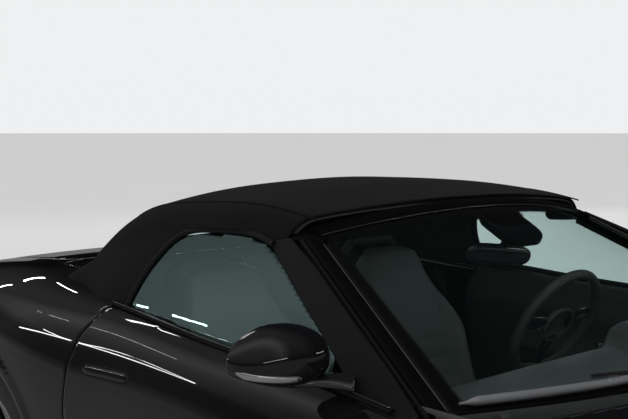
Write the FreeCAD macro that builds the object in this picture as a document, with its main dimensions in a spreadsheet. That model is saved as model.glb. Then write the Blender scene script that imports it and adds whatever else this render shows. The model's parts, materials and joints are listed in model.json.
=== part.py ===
import FreeCAD, Part
import os

import Sketcher

# Two-seat convertible car with a raised fabric roof, built as an assembly of separate panels.
#
# Frame: +Z up, nose towards -Y, the car's left side towards +X, origin on the floor under the
# middle of the car. Lengths are in millimetres and stations are counted from the nose.

Vector = FreeCAD.Vector

# Driving dimensions: alias, value, meaning
SIZES = [
    ("overall_length", 4470, "nose to tail"),
    ("body_width", 1923, "over the rear wheel arches"),
    ("roof_height", 1320, "floor to the top of the fabric roof"),
    ("wheelbase", 2622, "between the axles"),
    ("front_overhang", 868, "nose to the front axle"),
    ("tyre_radius", 340, "tyre outside radius"),
    ("rim_radius", 248, "wheel rim radius under the tyre's bead"),
    ("front_tyre_width", 255, "front tyre section"),
    ("rear_tyre_width", 275, "rear tyre section"),
    ("front_track", 1585, "between the front tyres' middles"),
    ("rear_track", 1620, "between the rear tyres' middles"),
    ("kingpin_offset", 78, "wheel middle to steering axis"),
    ("spindle_radius", 22, "wheel spindle"),
    ("kingpin_radius", 12, "steering pin"),
    ("pin_clearance", 0.05, "running clearance of pins and spindles"),
    ("sill_height", 160, "floor to the bottom of the body side"),
    ("waist_height", 620, "floor to the widest line of the side"),
    ("belt_height", 950, "floor to the door's top edge"),
    ("arch_radius", 378, "wheel arch opening in the skin"),
    ("front_arch_depth", 412, "front wheelhouse radius, with room to steer"),
    ("rear_arch_depth", 390, "rear wheelhouse radius"),
    ("panel_thickness", 28, "bonnet, lid and wing wall with its inner frame"),
    ("door_thickness", 115, "whole door, skin to trim"),
    ("shut_gap", 8, "gap round doors and lids"),
    ("seam_gap", 0.6, "gap between fixed panels"),
    ("seat_clearance", 0.3, "gap where a fixed piece sits on its carrier"),
    ("fabric_thickness", 22, "roof fabric with its lining and bows"),
    ("glass_thickness", 5, "door and rear glass"),
    ("screen_thickness", 6, "windscreen"),
    ("door_front", 1450, "nose to the door's front edge"),
    ("door_length", 1500, "the door at its longest"),
    ("firewall_station", 1440, "nose to the front bulkhead"),
    ("hinge_pin_radius", 8, "door hinge pins"),
    ("seat_offset", 370, "car's middle to a seat's middle"),
    ("seat_width", 500, "over the seat's bolsters"),
    ("steering_wheel_radius", 180, "middle of the steering wheel's rim"),
    ("engine_length", 640, "engine block"),
    ("engine_width", 600, "engine block over its heads"),
    ("engine_height", 470, "engine block from sump to cover"),
    ("exhaust_radius", 32, "exhaust pipe"),
    ("floor_height", 190, "floor to the top of the cabin floor"),
    ("floor_thickness", 40, "cabin floor with its frames"),
    ("tow_thread_radius", 8, "screw hole for a towing eye"),
    ("tow_thread_depth", 50, "depth of that hole"),
    ("jack_pad_length", 90, "jacking pad under a sill"),
    ("plate_width", 520, "number plate face"),
    ("seat_bolster", 85, "width of a seat's side bolster"),
    ("spoke_root", 30, "wheel spoke's width at the hub"),
    ("spoke_tip", 52, "wheel spoke's width at the rim"),
]

doc = FreeCAD.newDocument("convertible_car")
sheet = doc.addObject("Spreadsheet::Sheet", "Sizes")
for row_number, (alias, value, meaning) in enumerate(SIZES, start=1):
    sheet.set(f"A{row_number}", str(value))
    sheet.setAlias(f"A{row_number}", alias)
    sheet.set(f"B{row_number}", meaning)
doc.recompute()


class Dim:
    """Length with its number and the sheet expression that gives it."""

    def __init__(self, text, number):
        self.text = text
        self.number = float(number)

    def __add__(self, other):
        other = as_dim(other)
        return Dim(f"({self.text} + {other.text})", self.number + other.number)

    def __sub__(self, other):
        other = as_dim(other)
        return Dim(f"({self.text} - {other.text})", self.number - other.number)

    def __mul__(self, factor):
        return Dim(f"({self.text} * {factor})", self.number * factor)

    def __neg__(self):
        return Dim(f"(0 - {self.text})", -self.number)

    def __float__(self):
        return self.number


def as_dim(value):
    """A Dim as it is, or a plain number as a Dim."""
    return value if isinstance(value, Dim) else Dim(f"({value})", value)


def dim(alias):
    """A driving dimension from the sheet."""
    return Dim(f"Sizes.{alias}", sheet.get(alias))


def size(alias):
    """A driving dimension's number."""
    return float(sheet.get(alias))


LENGTH = size("overall_length")
HALF_WIDTH = size("body_width") / 2
ROOF = size("roof_height")
FRONT_AXLE = size("front_overhang")
REAR_AXLE = FRONT_AXLE + size("wheelbase")
WHEEL_Z = size("tyre_radius")
SILL = size("sill_height")
WAIST = size("waist_height")
BELT = size("belt_height")
PANEL = size("panel_thickness")
GAP = size("shut_gap")
SEAM = size("seam_gap")
CLEAR = size("seat_clearance")
DOOR_FRONT = size("door_front")
DOOR_REAR = DOOR_FRONT + size("door_length")
FIREWALL = size("firewall_station")
FLOOR = size("floor_height")
FRONT_X = size("front_track") / 2
REAR_X = size("rear_track") / 2
KINGPIN_X = FRONT_X - size("kingpin_offset")
FAR = 1300.0  # reach of a cutter that passes right through the car

# Stations that sections are counted from
ANCHOR = {"nose": 0.0, "front": FRONT_AXLE, "door": DOOR_FRONT, "rear": REAR_AXLE, "tail": LENGTH}

# Hinge axis of the left door (x, distance from nose), heights of its two hinges
HINGE_X, HINGE_S = HALF_WIDTH - 81.5, DOOR_FRONT + 75
HINGE_HEIGHTS = (SILL + 200, WAIST + 60)
POST_X = HINGE_X - 186  # outer face of the hinge post
# Axes of bonnet and boot lid (distance from nose, height)
BONNET_AXIS = (FIREWALL + 110, BELT - 30)
LID_FRONT = REAR_AXLE + 215
LID_AXIS = (LID_FRONT - 95, BELT - 3)
LID_LOW = BELT - 235
LID_HALF = (560.0, 540.0)
PLATE_FACE = -5.0  # station of the front number plate's face
COLUMN_LEAN = 25.0  # steering column's angle to the floor, in degrees


def y_of(distance):
    """Y of a point at that distance from the nose."""
    return distance - LENGTH / 2


# Shape helpers

def arc(a, b, share):
    """Arc from a to b in a plane across the car, bulging by that share of its chord."""
    chord = b - a
    middle = (a + b) * 0.5 + Vector(chord.z, 0, -chord.x) * share
    return Part.Arc(a, middle, b).toShape()


def prism(points, axis, start, end):
    """Solid between two planes across an axis, from a closed outline.

    Axis x takes (y, z) points, axis y takes (x, z) points and axis z takes (x, y) points.
    """
    place = {
        "x": lambda u, v: Vector(start, u, v),
        "y": lambda u, v: Vector(u, start, v),
        "z": lambda u, v: Vector(u, v, start),
    }[axis]
    way = {"x": Vector(1, 0, 0), "y": Vector(0, 1, 0), "z": Vector(0, 0, 1)}[axis]
    ring = [place(u, v) for u, v in points]
    return Part.Face(Part.makePolygon(ring + ring[:1])).extrude(way * (end - start))


def side_points(points):
    """Side-view outline given as (distance from nose, height)."""
    return [(y_of(s), z) for s, z in points]


def plan_points(half):
    """Plan-view outline from its left half, given as (x, distance from nose)."""
    left = [(x, y_of(s)) for x, s in half]
    return left + [(-x, y) for x, y in reversed(left) if x > 0]


def block(x0, x1, s0, s1, z0, z1):
    """Block between two corners, with stations from the nose."""
    return Part.makeBox(x1 - x0, s1 - s0, z1 - z0, Vector(x0, y_of(s0), z0))


def across(radius, s, z, x0, x1):
    """Cylinder across the car between two X values."""
    return Part.makeCylinder(radius, x1 - x0, Vector(x0, y_of(s), z), Vector(1, 0, 0))


def upright(radius, x, s, z0, z1):
    """Upright cylinder."""
    return Part.makeCylinder(radius, z1 - z0, Vector(x, y_of(s), z0))


def bent_bar(points, radius):
    """Round bar through (x, distance from nose, z) points, with a ball at each bend."""
    ends = [Vector(x, y_of(s), z) for x, s, z in points]
    bars = [Part.makeCylinder(radius, (b - a).Length, a, b - a) for a, b in zip(ends, ends[1:])]
    return join(bars + [Part.makeSphere(radius, p) for p in ends[1:-1]])


def join(shapes):
    """One shape from touching ones, without the seams between them."""
    if len(shapes) == 1:
        return shapes[0]
    return shapes[0].multiFuse(shapes[1:]).removeSplitter()


def cut_all(shape, tools):
    """A shape less each tool in turn."""
    for tool in tools:
        shape = shape.cut(tool)
    return shape


def mirrored(shape):
    """The same shape on the car's other side."""
    return shape.mirror(Vector(0, 0, 0), Vector(1, 0, 0))


def both(shape):
    """A shape and its mirror image as separate solids."""
    return Part.makeCompound(list(shape.Solids) + list(mirrored(shape).Solids))


def biggest(shape):
    """The largest solid of a cut shape."""
    return max(shape.Solids, key=lambda solid: solid.Volume)


# Body form: sections across the car, with insets from the half width and heights from the sill,
# waist and belt heights
# anchor, offset, sill in, sill up, waist in, waist up, shoulder in, shoulder up, edge in, edge up, crown up
BODY_SECTIONS = [
    ("nose", -60, 230, 20, 170, -130, 190, -330, 330, -302, -290),
    ("nose", 200, 145, 15, 100, -110, 140, -285, 320, -250, -232),
    ("front", -380, 80, 5, 40, -60, 100, -205, 295, -165, -145),
    ("front", 0, 62, 0, 14, 0, 98, -122, 270, -98, -80),
    ("front", 400, 76, 0, 27, 0, 110, -85, 238, -58, -38),
    ("door", 60, 82, 0, 46, -10, 112, -70, 208, -34, -12),
    ("door", 450, 83, 0, 49, -20, 100, -70, 178, -10, 10),
    ("door", 950, 81, 0, 43, -10, 95, -65, 166, -2, 22),
    ("door", 1400, 76, 0, 31, 20, 89, -55, 168, 14, 36),
    ("rear", -300, 62, 0, 8, 85, 72, -32, 196, 26, 46),
    ("rear", 0, 52, 0, 0, 100, 78, -16, 258, 38, 52),
    ("rear", 380, 66, 10, 18, 90, 102, -26, 320, 26, 38),
    ("rear", 720, 105, 25, 62, 60, 140, -70, 358, -6, 6),
    ("tail", 60, 150, 40, 110, 30, 185, -110, 395, -40, -30),
]
SIDE_BULGE, SHOULDER_BULGE, EDGE_BULGE = 0.025, 0.05, 0.09


def section_points(row, inset):
    """Sill, waist, shoulder, edge and crown points of one body section, moved in by inset."""
    anchor, offset, sill_in, sill_up, waist_in, waist_up, side_in, side_up, edge_in, edge_up, crown_up = row
    y = y_of(ANCHOR[anchor] + offset)
    drop = 200 if inset else 0
    return [
        Vector(HALF_WIDTH - sill_in - inset, y, SILL + sill_up - drop),
        Vector(HALF_WIDTH - waist_in - inset, y, WAIST + waist_up),
        Vector(HALF_WIDTH - side_in - 0.85 * inset, y, BELT + side_up - 0.5 * inset),
        Vector(HALF_WIDTH - edge_in - 0.3 * inset, y, BELT + edge_up - inset),
        Vector(0, y, BELT + crown_up - inset),
    ]


def arch_wire(points, bulges):
    """Closed section from left-hand points up to the middle, mirrored to the right."""
    crown = points[-1]
    side = points[:-1]
    other = [Vector(-p.x, p.y, p.z) for p in reversed(side)]
    left = [arc(a, b, bulge) for a, b, bulge in zip(side, side[1:], bulges)]
    right = [arc(a, b, bulge) for a, b, bulge in zip(other, other[1:], reversed(bulges))]
    top = Part.Arc(side[-1], crown, other[0]).toShape()
    return Part.Wire(left + [top] + right + [Part.makeLine(other[-1], side[0])])


def body_loft(inset=0.0):
    """The whole body form below the roof, or the same form a wall's thickness further in."""
    bulges = (SIDE_BULGE, SHOULDER_BULGE, EDGE_BULGE)
    return Part.makeLoft([arch_wire(section_points(row, inset), bulges) for row in BODY_SECTIONS], True, False)


def plan_form(inset=0.0):
    """Upright form of the plan outline, with rounded nose and tail that lean back upwards."""
    side = HALF_WIDTH + 60 - inset
    wires = []
    for z, lean in ((0.0, 40.0), (WAIST - 120, 0.0), (WAIST + 400, 90.0)):
        nose, nose_side = y_of(lean + inset), y_of(560)
        tail, tail_side = y_of(LENGTH - 0.6 * lean - inset), y_of(LENGTH - 470)
        front = Part.Arc(Vector(side, nose_side, z), Vector(0, nose, z), Vector(-side, nose_side, z))
        rear = Part.Arc(Vector(-side, tail_side, z), Vector(0, tail, z), Vector(side, tail_side, z))
        wires.append(Part.Wire([
            front.toShape(), Part.makeLine(Vector(-side, nose_side, z), Vector(-side, tail_side, z)),
            rear.toShape(), Part.makeLine(Vector(side, tail_side, z), Vector(side, nose_side, z)),
        ]))
    return Part.makeLoft(wires, True, False)


def cabin_space():
    """Space inside doors and rear quarters, open at the top."""
    wires = []
    for row in BODY_SECTIONS[4:11]:
        sill, waist, shoulder, edge, crown = section_points(row, size("door_thickness"))
        top_x = HALF_WIDTH - row[8] - 47
        ring = [sill, waist, Vector(top_x, sill.y, shoulder.z + 40), Vector(top_x, sill.y, BELT + 400)]
        other = [Vector(-p.x, p.y, p.z) for p in reversed(ring)]
        wires.append(Part.makePolygon(ring + other + ring[:1]))
    return Part.makeLoft(wires, True, True)


OUTER = body_loft().common(plan_form())
INNER = body_loft(PANEL).common(plan_form(PANEL))
INNER_ROOM = body_loft(PANEL + SEAM).common(plan_form(PANEL + SEAM))
CABIN = cabin_space()
LIP_WIDTH, LIP_RISE = 24, 6
LIP_FORM = body_loft(-LIP_RISE).common(plan_form())
RAISED = OUTER.translated(Vector(0, 0, CLEAR))  # what stands on the body is cut by this


# Outlines that neighbouring panels share

def bonnet_region(grow=0.0):
    """Column over the bonnet's plan outline, grown outwards by grow."""
    front = [(0, 122 - grow), (300, 150 - grow), (478 + grow, 215 - grow)]
    side = [(600 + grow, 560), (672 + grow, 950), (704 + grow, 1330)]
    rear = [(704 + grow, FIREWALL + 88 + grow), (640, FIREWALL + 62 + grow), (420, FIREWALL + 3 + grow),
            (0, FIREWALL - 42 + grow)]
    return prism(plan_points(front + side + rear), "z", BELT - 420 - grow, BELT + 300)


def lid_region(grow=0.0):
    """Column over the boot lid's plan outline down to its lower rear edge, grown by grow."""
    a, b = LID_HALF[0] + grow, LID_HALF[1] + grow
    front = LID_FRONT - (grow + 2 if grow else 0)
    half = [(0, front), (a - 60, front), (a, front + 60), (b, LENGTH - 250), (b, LENGTH + 100), (0, LENGTH + 100)]
    return prism(plan_points(half), "z", LID_LOW - grow, BELT + 300)


def cabin_opening():
    """Hole in the top of the body under the roof."""
    half = [(0, FIREWALL + 120), (700, FIREWALL + 150), (748, DOOR_FRONT + 450), (748, DOOR_REAR - 150),
            (640, REAR_AXLE - 40), (480, REAR_AXLE + 60), (0, REAR_AXLE + 100)]
    return prism(plan_points(half), "z", FLOOR, BELT + 300)


def cowl_region():
    """Room for the windscreen's foot and the cowl in the top of the body."""
    half = [(0, FIREWALL - 34), (420, FIREWALL + 11), (640, FIREWALL + 70), (712, FIREWALL + 96),
            (783, FIREWALL + 180), (783, FIREWALL + 440), (0, FIREWALL + 440)]
    return prism(plan_points(half), "z", BELT - 90, BELT + 300)


def door_outline(grow=0.0):
    """Side view of the door, grown outwards by grow."""
    front, rear, low = DOOR_FRONT - grow, DOOR_REAR + grow, SILL + 100 - grow
    top = 200 if grow else 0
    return side_points([
        (front, low + 60), (front + 45, low), (rear - 150, low), (rear - 55, low + 90),
        (rear - 5, low + 380), (rear, low + 520), (rear - 14, low + 610), (rear - 52, BELT - 14),
        (rear - 60, BELT + 16 + top), (rear - 135, BELT + 15 + top), (DOOR_FRONT + 1165, BELT + 7 + top),
        (DOOR_FRONT + 965, BELT - 2 + top), (DOOR_FRONT + 840, BELT - 5 + top), (front + 60, BELT - 24 + top),
        (front + 20, BELT - 120), (front, low + 380),
    ])


def door_region(grow=0.0):
    return prism(door_outline(grow), "x", 0, FAR)


BUMPER_SEAM = [(548, 100), (520, 430), (492, 560), (455, 640), (430, 1300)]
TAIL_SEAM = [(LENGTH - 420, 100), (LENGTH - 420, 560), (LENGTH - 380, LID_LOW - GAP), (LENGTH + 200, LID_LOW - GAP)]


def front_region(gap=0.0):
    """Everything ahead of the bumper's seam."""
    points = [(s - gap, z) for s, z in BUMPER_SEAM] + [(-300, 1300), (-300, 100)]
    return prism(side_points(points), "x", -FAR, FAR)


def tail_region(gap=0.0):
    """Everything behind the rear bumper's seam and below the lid."""
    points = [(s + gap, z - gap) for s, z in TAIL_SEAM[1:]] + [(LENGTH + 200, 50), (TAIL_SEAM[0][0] + gap, 50)]
    return prism(side_points(points), "x", -FAR, FAR)


def lamp_region(shrink=0.0):
    """Room of the left headlamp in the wing's and bumper's skin."""
    g = shrink
    half = [(585 + g, 330), (640 + g, 262 + g), (780, 262 + g), (905 - g, 340), (905 - g, 560), (880 - g, 700 - g),
            (850, 700 - g), (760 + g, 520)]
    return prism([(x, y_of(s)) for x, s in half], "z", WAIST - 22 + g, BELT)


def tail_lamp_region(shrink=0.0):
    """Room of the left tail lamp."""
    g = shrink
    half = [(LID_HALF[1] + GAP + SEAM + g, LENGTH + 60), (LID_HALF[1] + GAP + SEAM + g, LENGTH - 240), (760, LENGTH - 240),
            (860 - g, LENGTH - 370), (FAR, LENGTH - 370), (FAR, LENGTH + 60)]
    return prism([(x, y_of(s)) for x, s in half], "z", LID_LOW + 20 + g, LID_LOW + 120 - g)


def sill_region(gap=0.0):
    return prism(side_points([
        (FRONT_AXLE + 340, 50), (REAR_AXLE - 340, 50), (REAR_AXLE - 340, SILL + 92 - gap),
        (FRONT_AXLE + 340, SILL + 92 - gap)]), "x", 0, FAR)


def arch_space(front):
    """Space of the left front or rear wheel in body and skin."""
    if front:
        deep = across(size("front_arch_depth"), FRONT_AXLE, WHEEL_Z, 470, HALF_WIDTH - 60)
        skin_x, s = HALF_WIDTH - 75, FRONT_AXLE
    else:
        deep = across(size("rear_arch_depth"), REAR_AXLE, WHEEL_Z, 636, HALF_WIDTH - 45)
        skin_x, s = HALF_WIDTH - 75, REAR_AXLE
    return join([deep, across(size("arch_radius"), s, WHEEL_Z, skin_x, FAR)])


FRONT_ARCH = arch_space(True)
REAR_ARCH = arch_space(False)
DOOR_SWEEP = upright(89, HINGE_X, HINGE_S, SILL + 60, BELT + 40)


# Fixed and moving panels

def bonnet():
    """Bonnet with its inner frame and two hinge arms."""
    shape = biggest(OUTER.common(bonnet_region()).cut(INNER))
    s, z = BONNET_AXIS
    arm = prism(side_points([(s - 4, z - 10), (s + 4, z - 10), (s + 10, z - 4), (s + 10, z + 4), (s + 4, z + 10),
                             (s - 4, z + 10), (s - 45, z - 16), (s - 60, z - 8), (s - 90, z - 8), (s - 90, z - 38),
                             (s - 40, z - 38)]), "x", 650, 662)
    arm = arm.common(body_loft(8)).fuse(across(10, s, z, 650, 662))
    arm = arm.cut(across(6 + size("pin_clearance"), s, z, 640, 680))
    louvres = [prism(plan_points([(300, start), (420, start + 26), (420, start + 40), (300, start + 14)])[:4], "z", BELT - 200,
                     BELT + 60) for start in (FRONT_AXLE + 20, FRONT_AXLE + 56, FRONT_AXLE + 92)]
    return join([cut_all(shape, louvres + [mirrored(slot) for slot in louvres]), arm, mirrored(arm)])


def arch_lip(axle):
    """Raised lip round the left wheel arch in line with that axle."""
    return LIP_FORM.common(across(size("arch_radius") + LIP_WIDTH, axle, WHEEL_Z, HALF_WIDTH - 110, FAR)).cut(INNER)


def wing():
    """Left front wing."""
    shape = OUTER.common(block(0, FAR, 300, DOOR_FRONT + 200, SILL - 40, BELT + 200)).cut(INNER).fuse(arch_lip(FRONT_AXLE))
    tools = [FRONT_ARCH, bonnet_region(GAP), front_region(), door_region(GAP), sill_region(), cowl_region(),
             lamp_region(), DOOR_SWEEP]
    return biggest(cut_all(shape, tools))


def sill():
    """Left sill under the door, with two jacking pads."""
    shape = OUTER.common(sill_region(SEAM))
    shape = biggest(cut_all(shape, [block(0, 750, 0, LENGTH, 0, BELT), FRONT_ARCH, REAR_ARCH]))
    reach = size("jack_pad_length")
    pads = [block(770, 850, s, s + reach, SILL - 10, SILL + 30) for s in (DOOR_FRONT - 60, DOOR_REAR - 120)]
    return join([shape] + pads)


def quarter():
    """Left rear quarter: door pillar, haunch and wheel arch up to the lid and the roof's foot."""
    side = OUTER.common(block(0, FAR, DOOR_REAR - 260, LENGTH + 100, SILL - 40, BELT + 200))
    pillar = side.common(block(0, FAR, DOOR_REAR - 260, DOOR_REAR + 140, 0, BELT + 200))
    shape = side.cut(INNER).fuse(pillar).fuse(arch_lip(REAR_AXLE)).cut(CABIN)
    tools = [REAR_ARCH, lid_region(GAP), cabin_opening(), door_region(GAP), sill_region(), deck_region(),
             tail_region(), tail_lamp_region()]
    return biggest(cut_all(shape, tools))


def deck_region(gap=0.0):
    half = [(0, REAR_AXLE - 100), (620 - gap, REAR_AXLE - 100), (620 - gap, LID_FRONT), (0, LID_FRONT)]
    return prism(plan_points(half), "z", BELT - 60, BELT + 150)


def deck():
    """Panel between the roof's foot and the boot lid."""
    shape = OUTER.common(deck_region(SEAM)).cut(INNER)
    return biggest(cut_all(shape, [lid_region(GAP), cabin_opening()]))


def boot_lid():
    """Boot lid with its rear face and two goosenecks to its hinge axis."""
    lid = biggest(OUTER.common(lid_region()).cut(INNER))
    front_chamfer = prism(side_points([
        (LID_FRONT - 20, BELT - 60), (LID_FRONT + 45, BELT - 60), (LID_FRONT + 45, BELT + 14), (LID_FRONT - 20, BELT + 31)]),
        "x", -FAR, FAR)
    lid = biggest(lid.cut(front_chamfer))
    s, z = LID_AXIS
    neck = bent_bar([(480, s, z), (480, s + 35, z - 100), (480, s + 150, z - 100), (480, s + 152, z + 22)], 8)
    eye = across(16, s, z, 468, 492).cut(across(8 + size("pin_clearance"), s, z, 460, 500))
    neck = neck.cut(across(8 + size("pin_clearance"), s, z, 460, 500)).fuse(eye)
    return join([lid, neck, mirrored(neck)])


def handle_groove():
    """Gap round the handle that lies flush in the left door's skin."""
    low, high = WAIST + 173, WAIST + 199
    skin = HALF_WIDTH - 62
    around = block(skin, FAR, DOOR_FRONT + 1173, DOOR_FRONT + 1422, low - 4, high + 4)
    return around.cut(block(skin, FAR, DOOR_FRONT + 1177, DOOR_FRONT + 1418, low, high))


def door():
    """Left door with its flush handle, hollow at its hinges, with bores for the hinge pins."""
    pillar_room = block(0, 786, DOOR_FRONT - 50, DOOR_FRONT + 420, BELT - 100, BELT + 100)
    shape = biggest(OUTER.common(door_region()).cut(CABIN).cut(pillar_room))
    pockets = [block(HINGE_X - 140, HINGE_X + 16, HINGE_S - 100, HINGE_S + 22, z - 30, z + 30) for z in HINGE_HEIGHTS]
    bores = [upright(size("hinge_pin_radius") + size("pin_clearance"), HINGE_X, HINGE_S, z - 60.5, z + 60.5)
             for z in HINGE_HEIGHTS]
    return biggest(cut_all(shape, pockets + bores + [handle_groove()]))


def front_bumper():
    """Nose with openings for grille and lamps."""
    lip = arch_lip(FRONT_AXLE)
    shape = OUTER.fuse([lip, mirrored(lip)]).common(front_region(SEAM)).cut(INNER)
    tools = [bonnet_region(GAP), lamp_region(), mirrored(lamp_region()), FRONT_ARCH, mirrored(FRONT_ARCH),
             *grille_regions(0)]
    shape = biggest(cut_all(shape, tools))
    half = size("plate_width") / 2
    return with_tow_eye(join([shape, block(-half, half, PLATE_FACE, 45, 378, 456)]), -420, 430, 88, 1)


def with_tow_eye(shape, x, z, s, inwards):
    """A bumper with a screw bush for a towing eye, its thread starting at a station."""
    way = Vector(0, inwards, 0)
    depth = size("tow_thread_depth")
    start = Vector(x, y_of(s), z)
    bush = Part.makeCylinder(26, depth + 50, start - way * 40, way).common(OUTER)
    recess = Part.makeCylinder(15, 120, start - way * 120, way)
    thread = Part.makeCylinder(size("tow_thread_radius"), depth, start, way)
    return biggest(cut_all(join([shape, bush]), [recess, thread]))


def grille_regions(shrink):
    """Rooms of the two upper grilles and the lower intake."""
    g = shrink
    left = [(34 + g, 462 + g), (300 - g, 478 + g), (345 - g, 560), (318 - g, 632 - g), (60 + g, 636 - g)]
    low = [(-560 + g, 262), (-480, 222 + g), (480, 222 + g), (560 - g, 262), (500 - g, 372 - g), (-500 + g, 372 - g)]
    right = [(-x, z) for x, z in reversed(left)]
    return [prism(points, "y", y_of(-80), y_of(330)) for points in (left, right, low)]


def grille():
    """Two upper grilles and the lower intake: each is a frame as deep as the bumper's wall, filled with bars."""
    wall = OUTER.cut(INNER)
    upright_bars = [block(x - 3, x + 3, -80, 330, 450, 650) for x in range(-340, 341, 20)]
    level_bars = [block(-560, 560, -80, 330, z - 3, z + 3) for z in range(250, 361, 22)]
    stays = [block(x - 4, x + 4, -80, 330, 220, 380) for x in range(-420, 421, 140)]
    shapes = []
    for room, opening, bars in zip(grille_regions(SEAM), grille_regions(SEAM + 12),
                                   (upright_bars, upright_bars, level_bars + stays)):
        gaps = cut_all(opening, bars)
        shapes.append(biggest(wall.common(room).cut(gaps)))
    return Part.makeCompound(shapes)


def headlamps():
    lamp = biggest(OUTER.common(lamp_region(SEAM)).cut(INNER).cut(bonnet_region(GAP)).cut(FRONT_ARCH))
    return both(lamp)


def tail_lamps():
    return both(biggest(OUTER.common(tail_lamp_region(SEAM)).cut(INNER)))


def rear_bumper():
    """Tail below the boot lid, with a diffuser's fins between the tailpipes."""
    shape = OUTER.common(tail_region(SEAM)).cut(INNER)
    exhaust_room = [block(x - 70, x + 70, LENGTH - 260, LENGTH + 50, 0, SILL + 136) for x in (-520, 520)]
    mouth = prism([(-400, SILL), (400, SILL), (340, SILL + 110), (-340, SILL + 110)], "y", y_of(LENGTH - 260), y_of(LENGTH + 50))
    fins = [block(x - 5, x + 5, LENGTH - 300, LENGTH + 60, SILL - 20, SILL + 140) for x in (-240, -80, 80, 240)]
    shape = biggest(cut_all(shape, [REAR_ARCH, mirrored(REAR_ARCH), cut_all(mouth, fins)] + exhaust_room))
    half = size("plate_width") / 2
    return with_tow_eye(join([shape, block(-half, half, LENGTH - 45, LENGTH - 2, 520, 636)]), 420, 430, LENGTH - 78, -1)


# Inner body

def front_inner_body():
    """Firewall, hinge posts, rails, wheelhouses, nose panel and cowl tray."""
    wall = [(745, FLOOR), (745, WAIST + 80), (POST_X, BELT - 95), (-POST_X, BELT - 95), (-745, WAIST + 80), (-745, FLOOR)]
    firewall = prism(wall, "y", y_of(FIREWALL), y_of(FIREWALL + 30))
    tray = block(-700, 700, FIREWALL - 30, FIREWALL + 72, BELT - 100, BELT - 92)
    ledge = block(640, 700, FIREWALL, FIREWALL + 132, BELT - 100, BELT - 92)
    s, z = BONNET_AXIS
    bracket = prism(side_points([(s - 16, BELT - 96), (s + 16, BELT - 96), (s + 9, z + 4), (s + 4, z + 9), (s - 4, z + 9),
                                 (s - 9, z + 4)]), "x", 667, 676)
    bonnet_pin = across(6, s, z, 648, 676)
    post = block(POST_X - 64, POST_X, FIREWALL, FIREWALL + 215, FLOOR + CLEAR, BELT - 95)
    rail = block(440, 466, 190, FIREWALL, 300, WAIST + 60)
    nose = block(-466, 466, 190, 214, 300, WAIST)
    house = across(size("front_arch_depth") + 6, FRONT_AXLE, WHEEL_Z, 466, HALF_WIDTH - 100)
    house = house.cut(across(size("front_arch_depth"), FRONT_AXLE, WHEEL_Z, 400, FAR))
    house = house.common(block(400, FAR, 0, DOOR_FRONT, WHEEL_Z - 60, BELT))
    leaves = []
    for z in HINGE_HEIGHTS:
        pin = upright(size("hinge_pin_radius"), HINGE_X, HINGE_S, z - 60, z + 60)
        leaf = block(POST_X - 4, HINGE_X, HINGE_S - 9, HINGE_S + 9, z - 20, z + 20).fuse(upright(11, HINGE_X, HINGE_S, z - 20, z + 20))
        leaves.append(pin.fuse(leaf))
    side = [post, rail, house, ledge, bracket, bonnet_pin]
    shell = join([firewall, tray, nose] + side + [mirrored(part) for part in side])
    hinge_room = block(-680, 680, s - 30, s + 30, BELT - 96, BELT)
    shell = biggest(shell.common(INNER_ROOM.fuse(hinge_room)))
    hinge_side = leaves + [mirrored(leaf) for leaf in leaves]
    return join([shell] + hinge_side)


def rear_inner_body():
    """Bulkhead, boot floor, inner wheelhouses, lid hinge brackets and roll hoops."""
    bulkhead = block(-700, 700, REAR_AXLE - 405, REAR_AXLE - 380, FLOOR, BELT - 40)
    boot_floor = block(-612, 612, REAR_AXLE - 380, LENGTH - 150, 420, 440)
    wall = block(612, 632, REAR_AXLE - 405, LENGTH - 330, 300, BELT - 60).cut(across(45, REAR_AXLE, WHEEL_Z, 600, 640))
    liner = across(size("rear_arch_depth") + 6, REAR_AXLE, WHEEL_Z, 632, HALF_WIDTH - 90)
    liner = liner.cut(across(size("rear_arch_depth"), REAR_AXLE, WHEEL_Z, 600, FAR))
    liner = liner.common(block(600, FAR, REAR_AXLE - 400, REAR_AXLE + 400, WHEEL_Z - 60, BELT))
    s, z = LID_AXIS
    pin = across(8, s, z, 440, 505)
    bracket = block(496, 632, s - 25, s + 20, z - 60, z + 8)
    rear_panel = block(-612, 612, LENGTH - 170, LENGTH - 150, 300, LID_LOW - 20)
    hoop = bent_bar([(230, REAR_AXLE - 430, BELT - 80), (230, REAR_AXLE - 440, 1010), (280, REAR_AXLE - 445, 1060),
                     (460, REAR_AXLE - 445, 1060), (510, REAR_AXLE - 440, 1010), (510, REAR_AXLE - 430, BELT - 80)], 17)
    shelf = block(-700, 700, REAR_AXLE - 450, REAR_AXLE - 405, BELT - 110, BELT - 80)
    side = [wall, liner, pin, bracket, hoop]
    shell = join([bulkhead, boot_floor, rear_panel, shelf] + side + [mirrored(part) for part in side])
    return biggest(shell.common(INNER_ROOM.fuse(block(-700, 700, REAR_AXLE - 480, REAR_AXLE - 380, BELT - 200, 1200))))


# Roof: arches across the car; foot heights count from the belt, the others from the roof height
# anchor, offset, foot x, foot up, rail x, rail up, seam x, seam up, crown up
ROOF_SECTIONS = [
    ("door", 700, 790, -40, 600, -132, 545, -90, -46),
    ("door", 1000, 797, -40, 636, -120, 562, -46, -2),
    ("door", 1300, 797, -40, 645, -138, 565, -54, 0),
    ("rear", -490, 790, -40, 648, -180, 556, -78, -20),
    ("rear", -240, 745, -40, 638, -240, 534, -140, -72),
    ("rear", -40, 688, -40, 606, -296, 500, -218, -162),
    ("rear", 130, 618, -40, 538, -340, 450, -320, -296),
]


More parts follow.
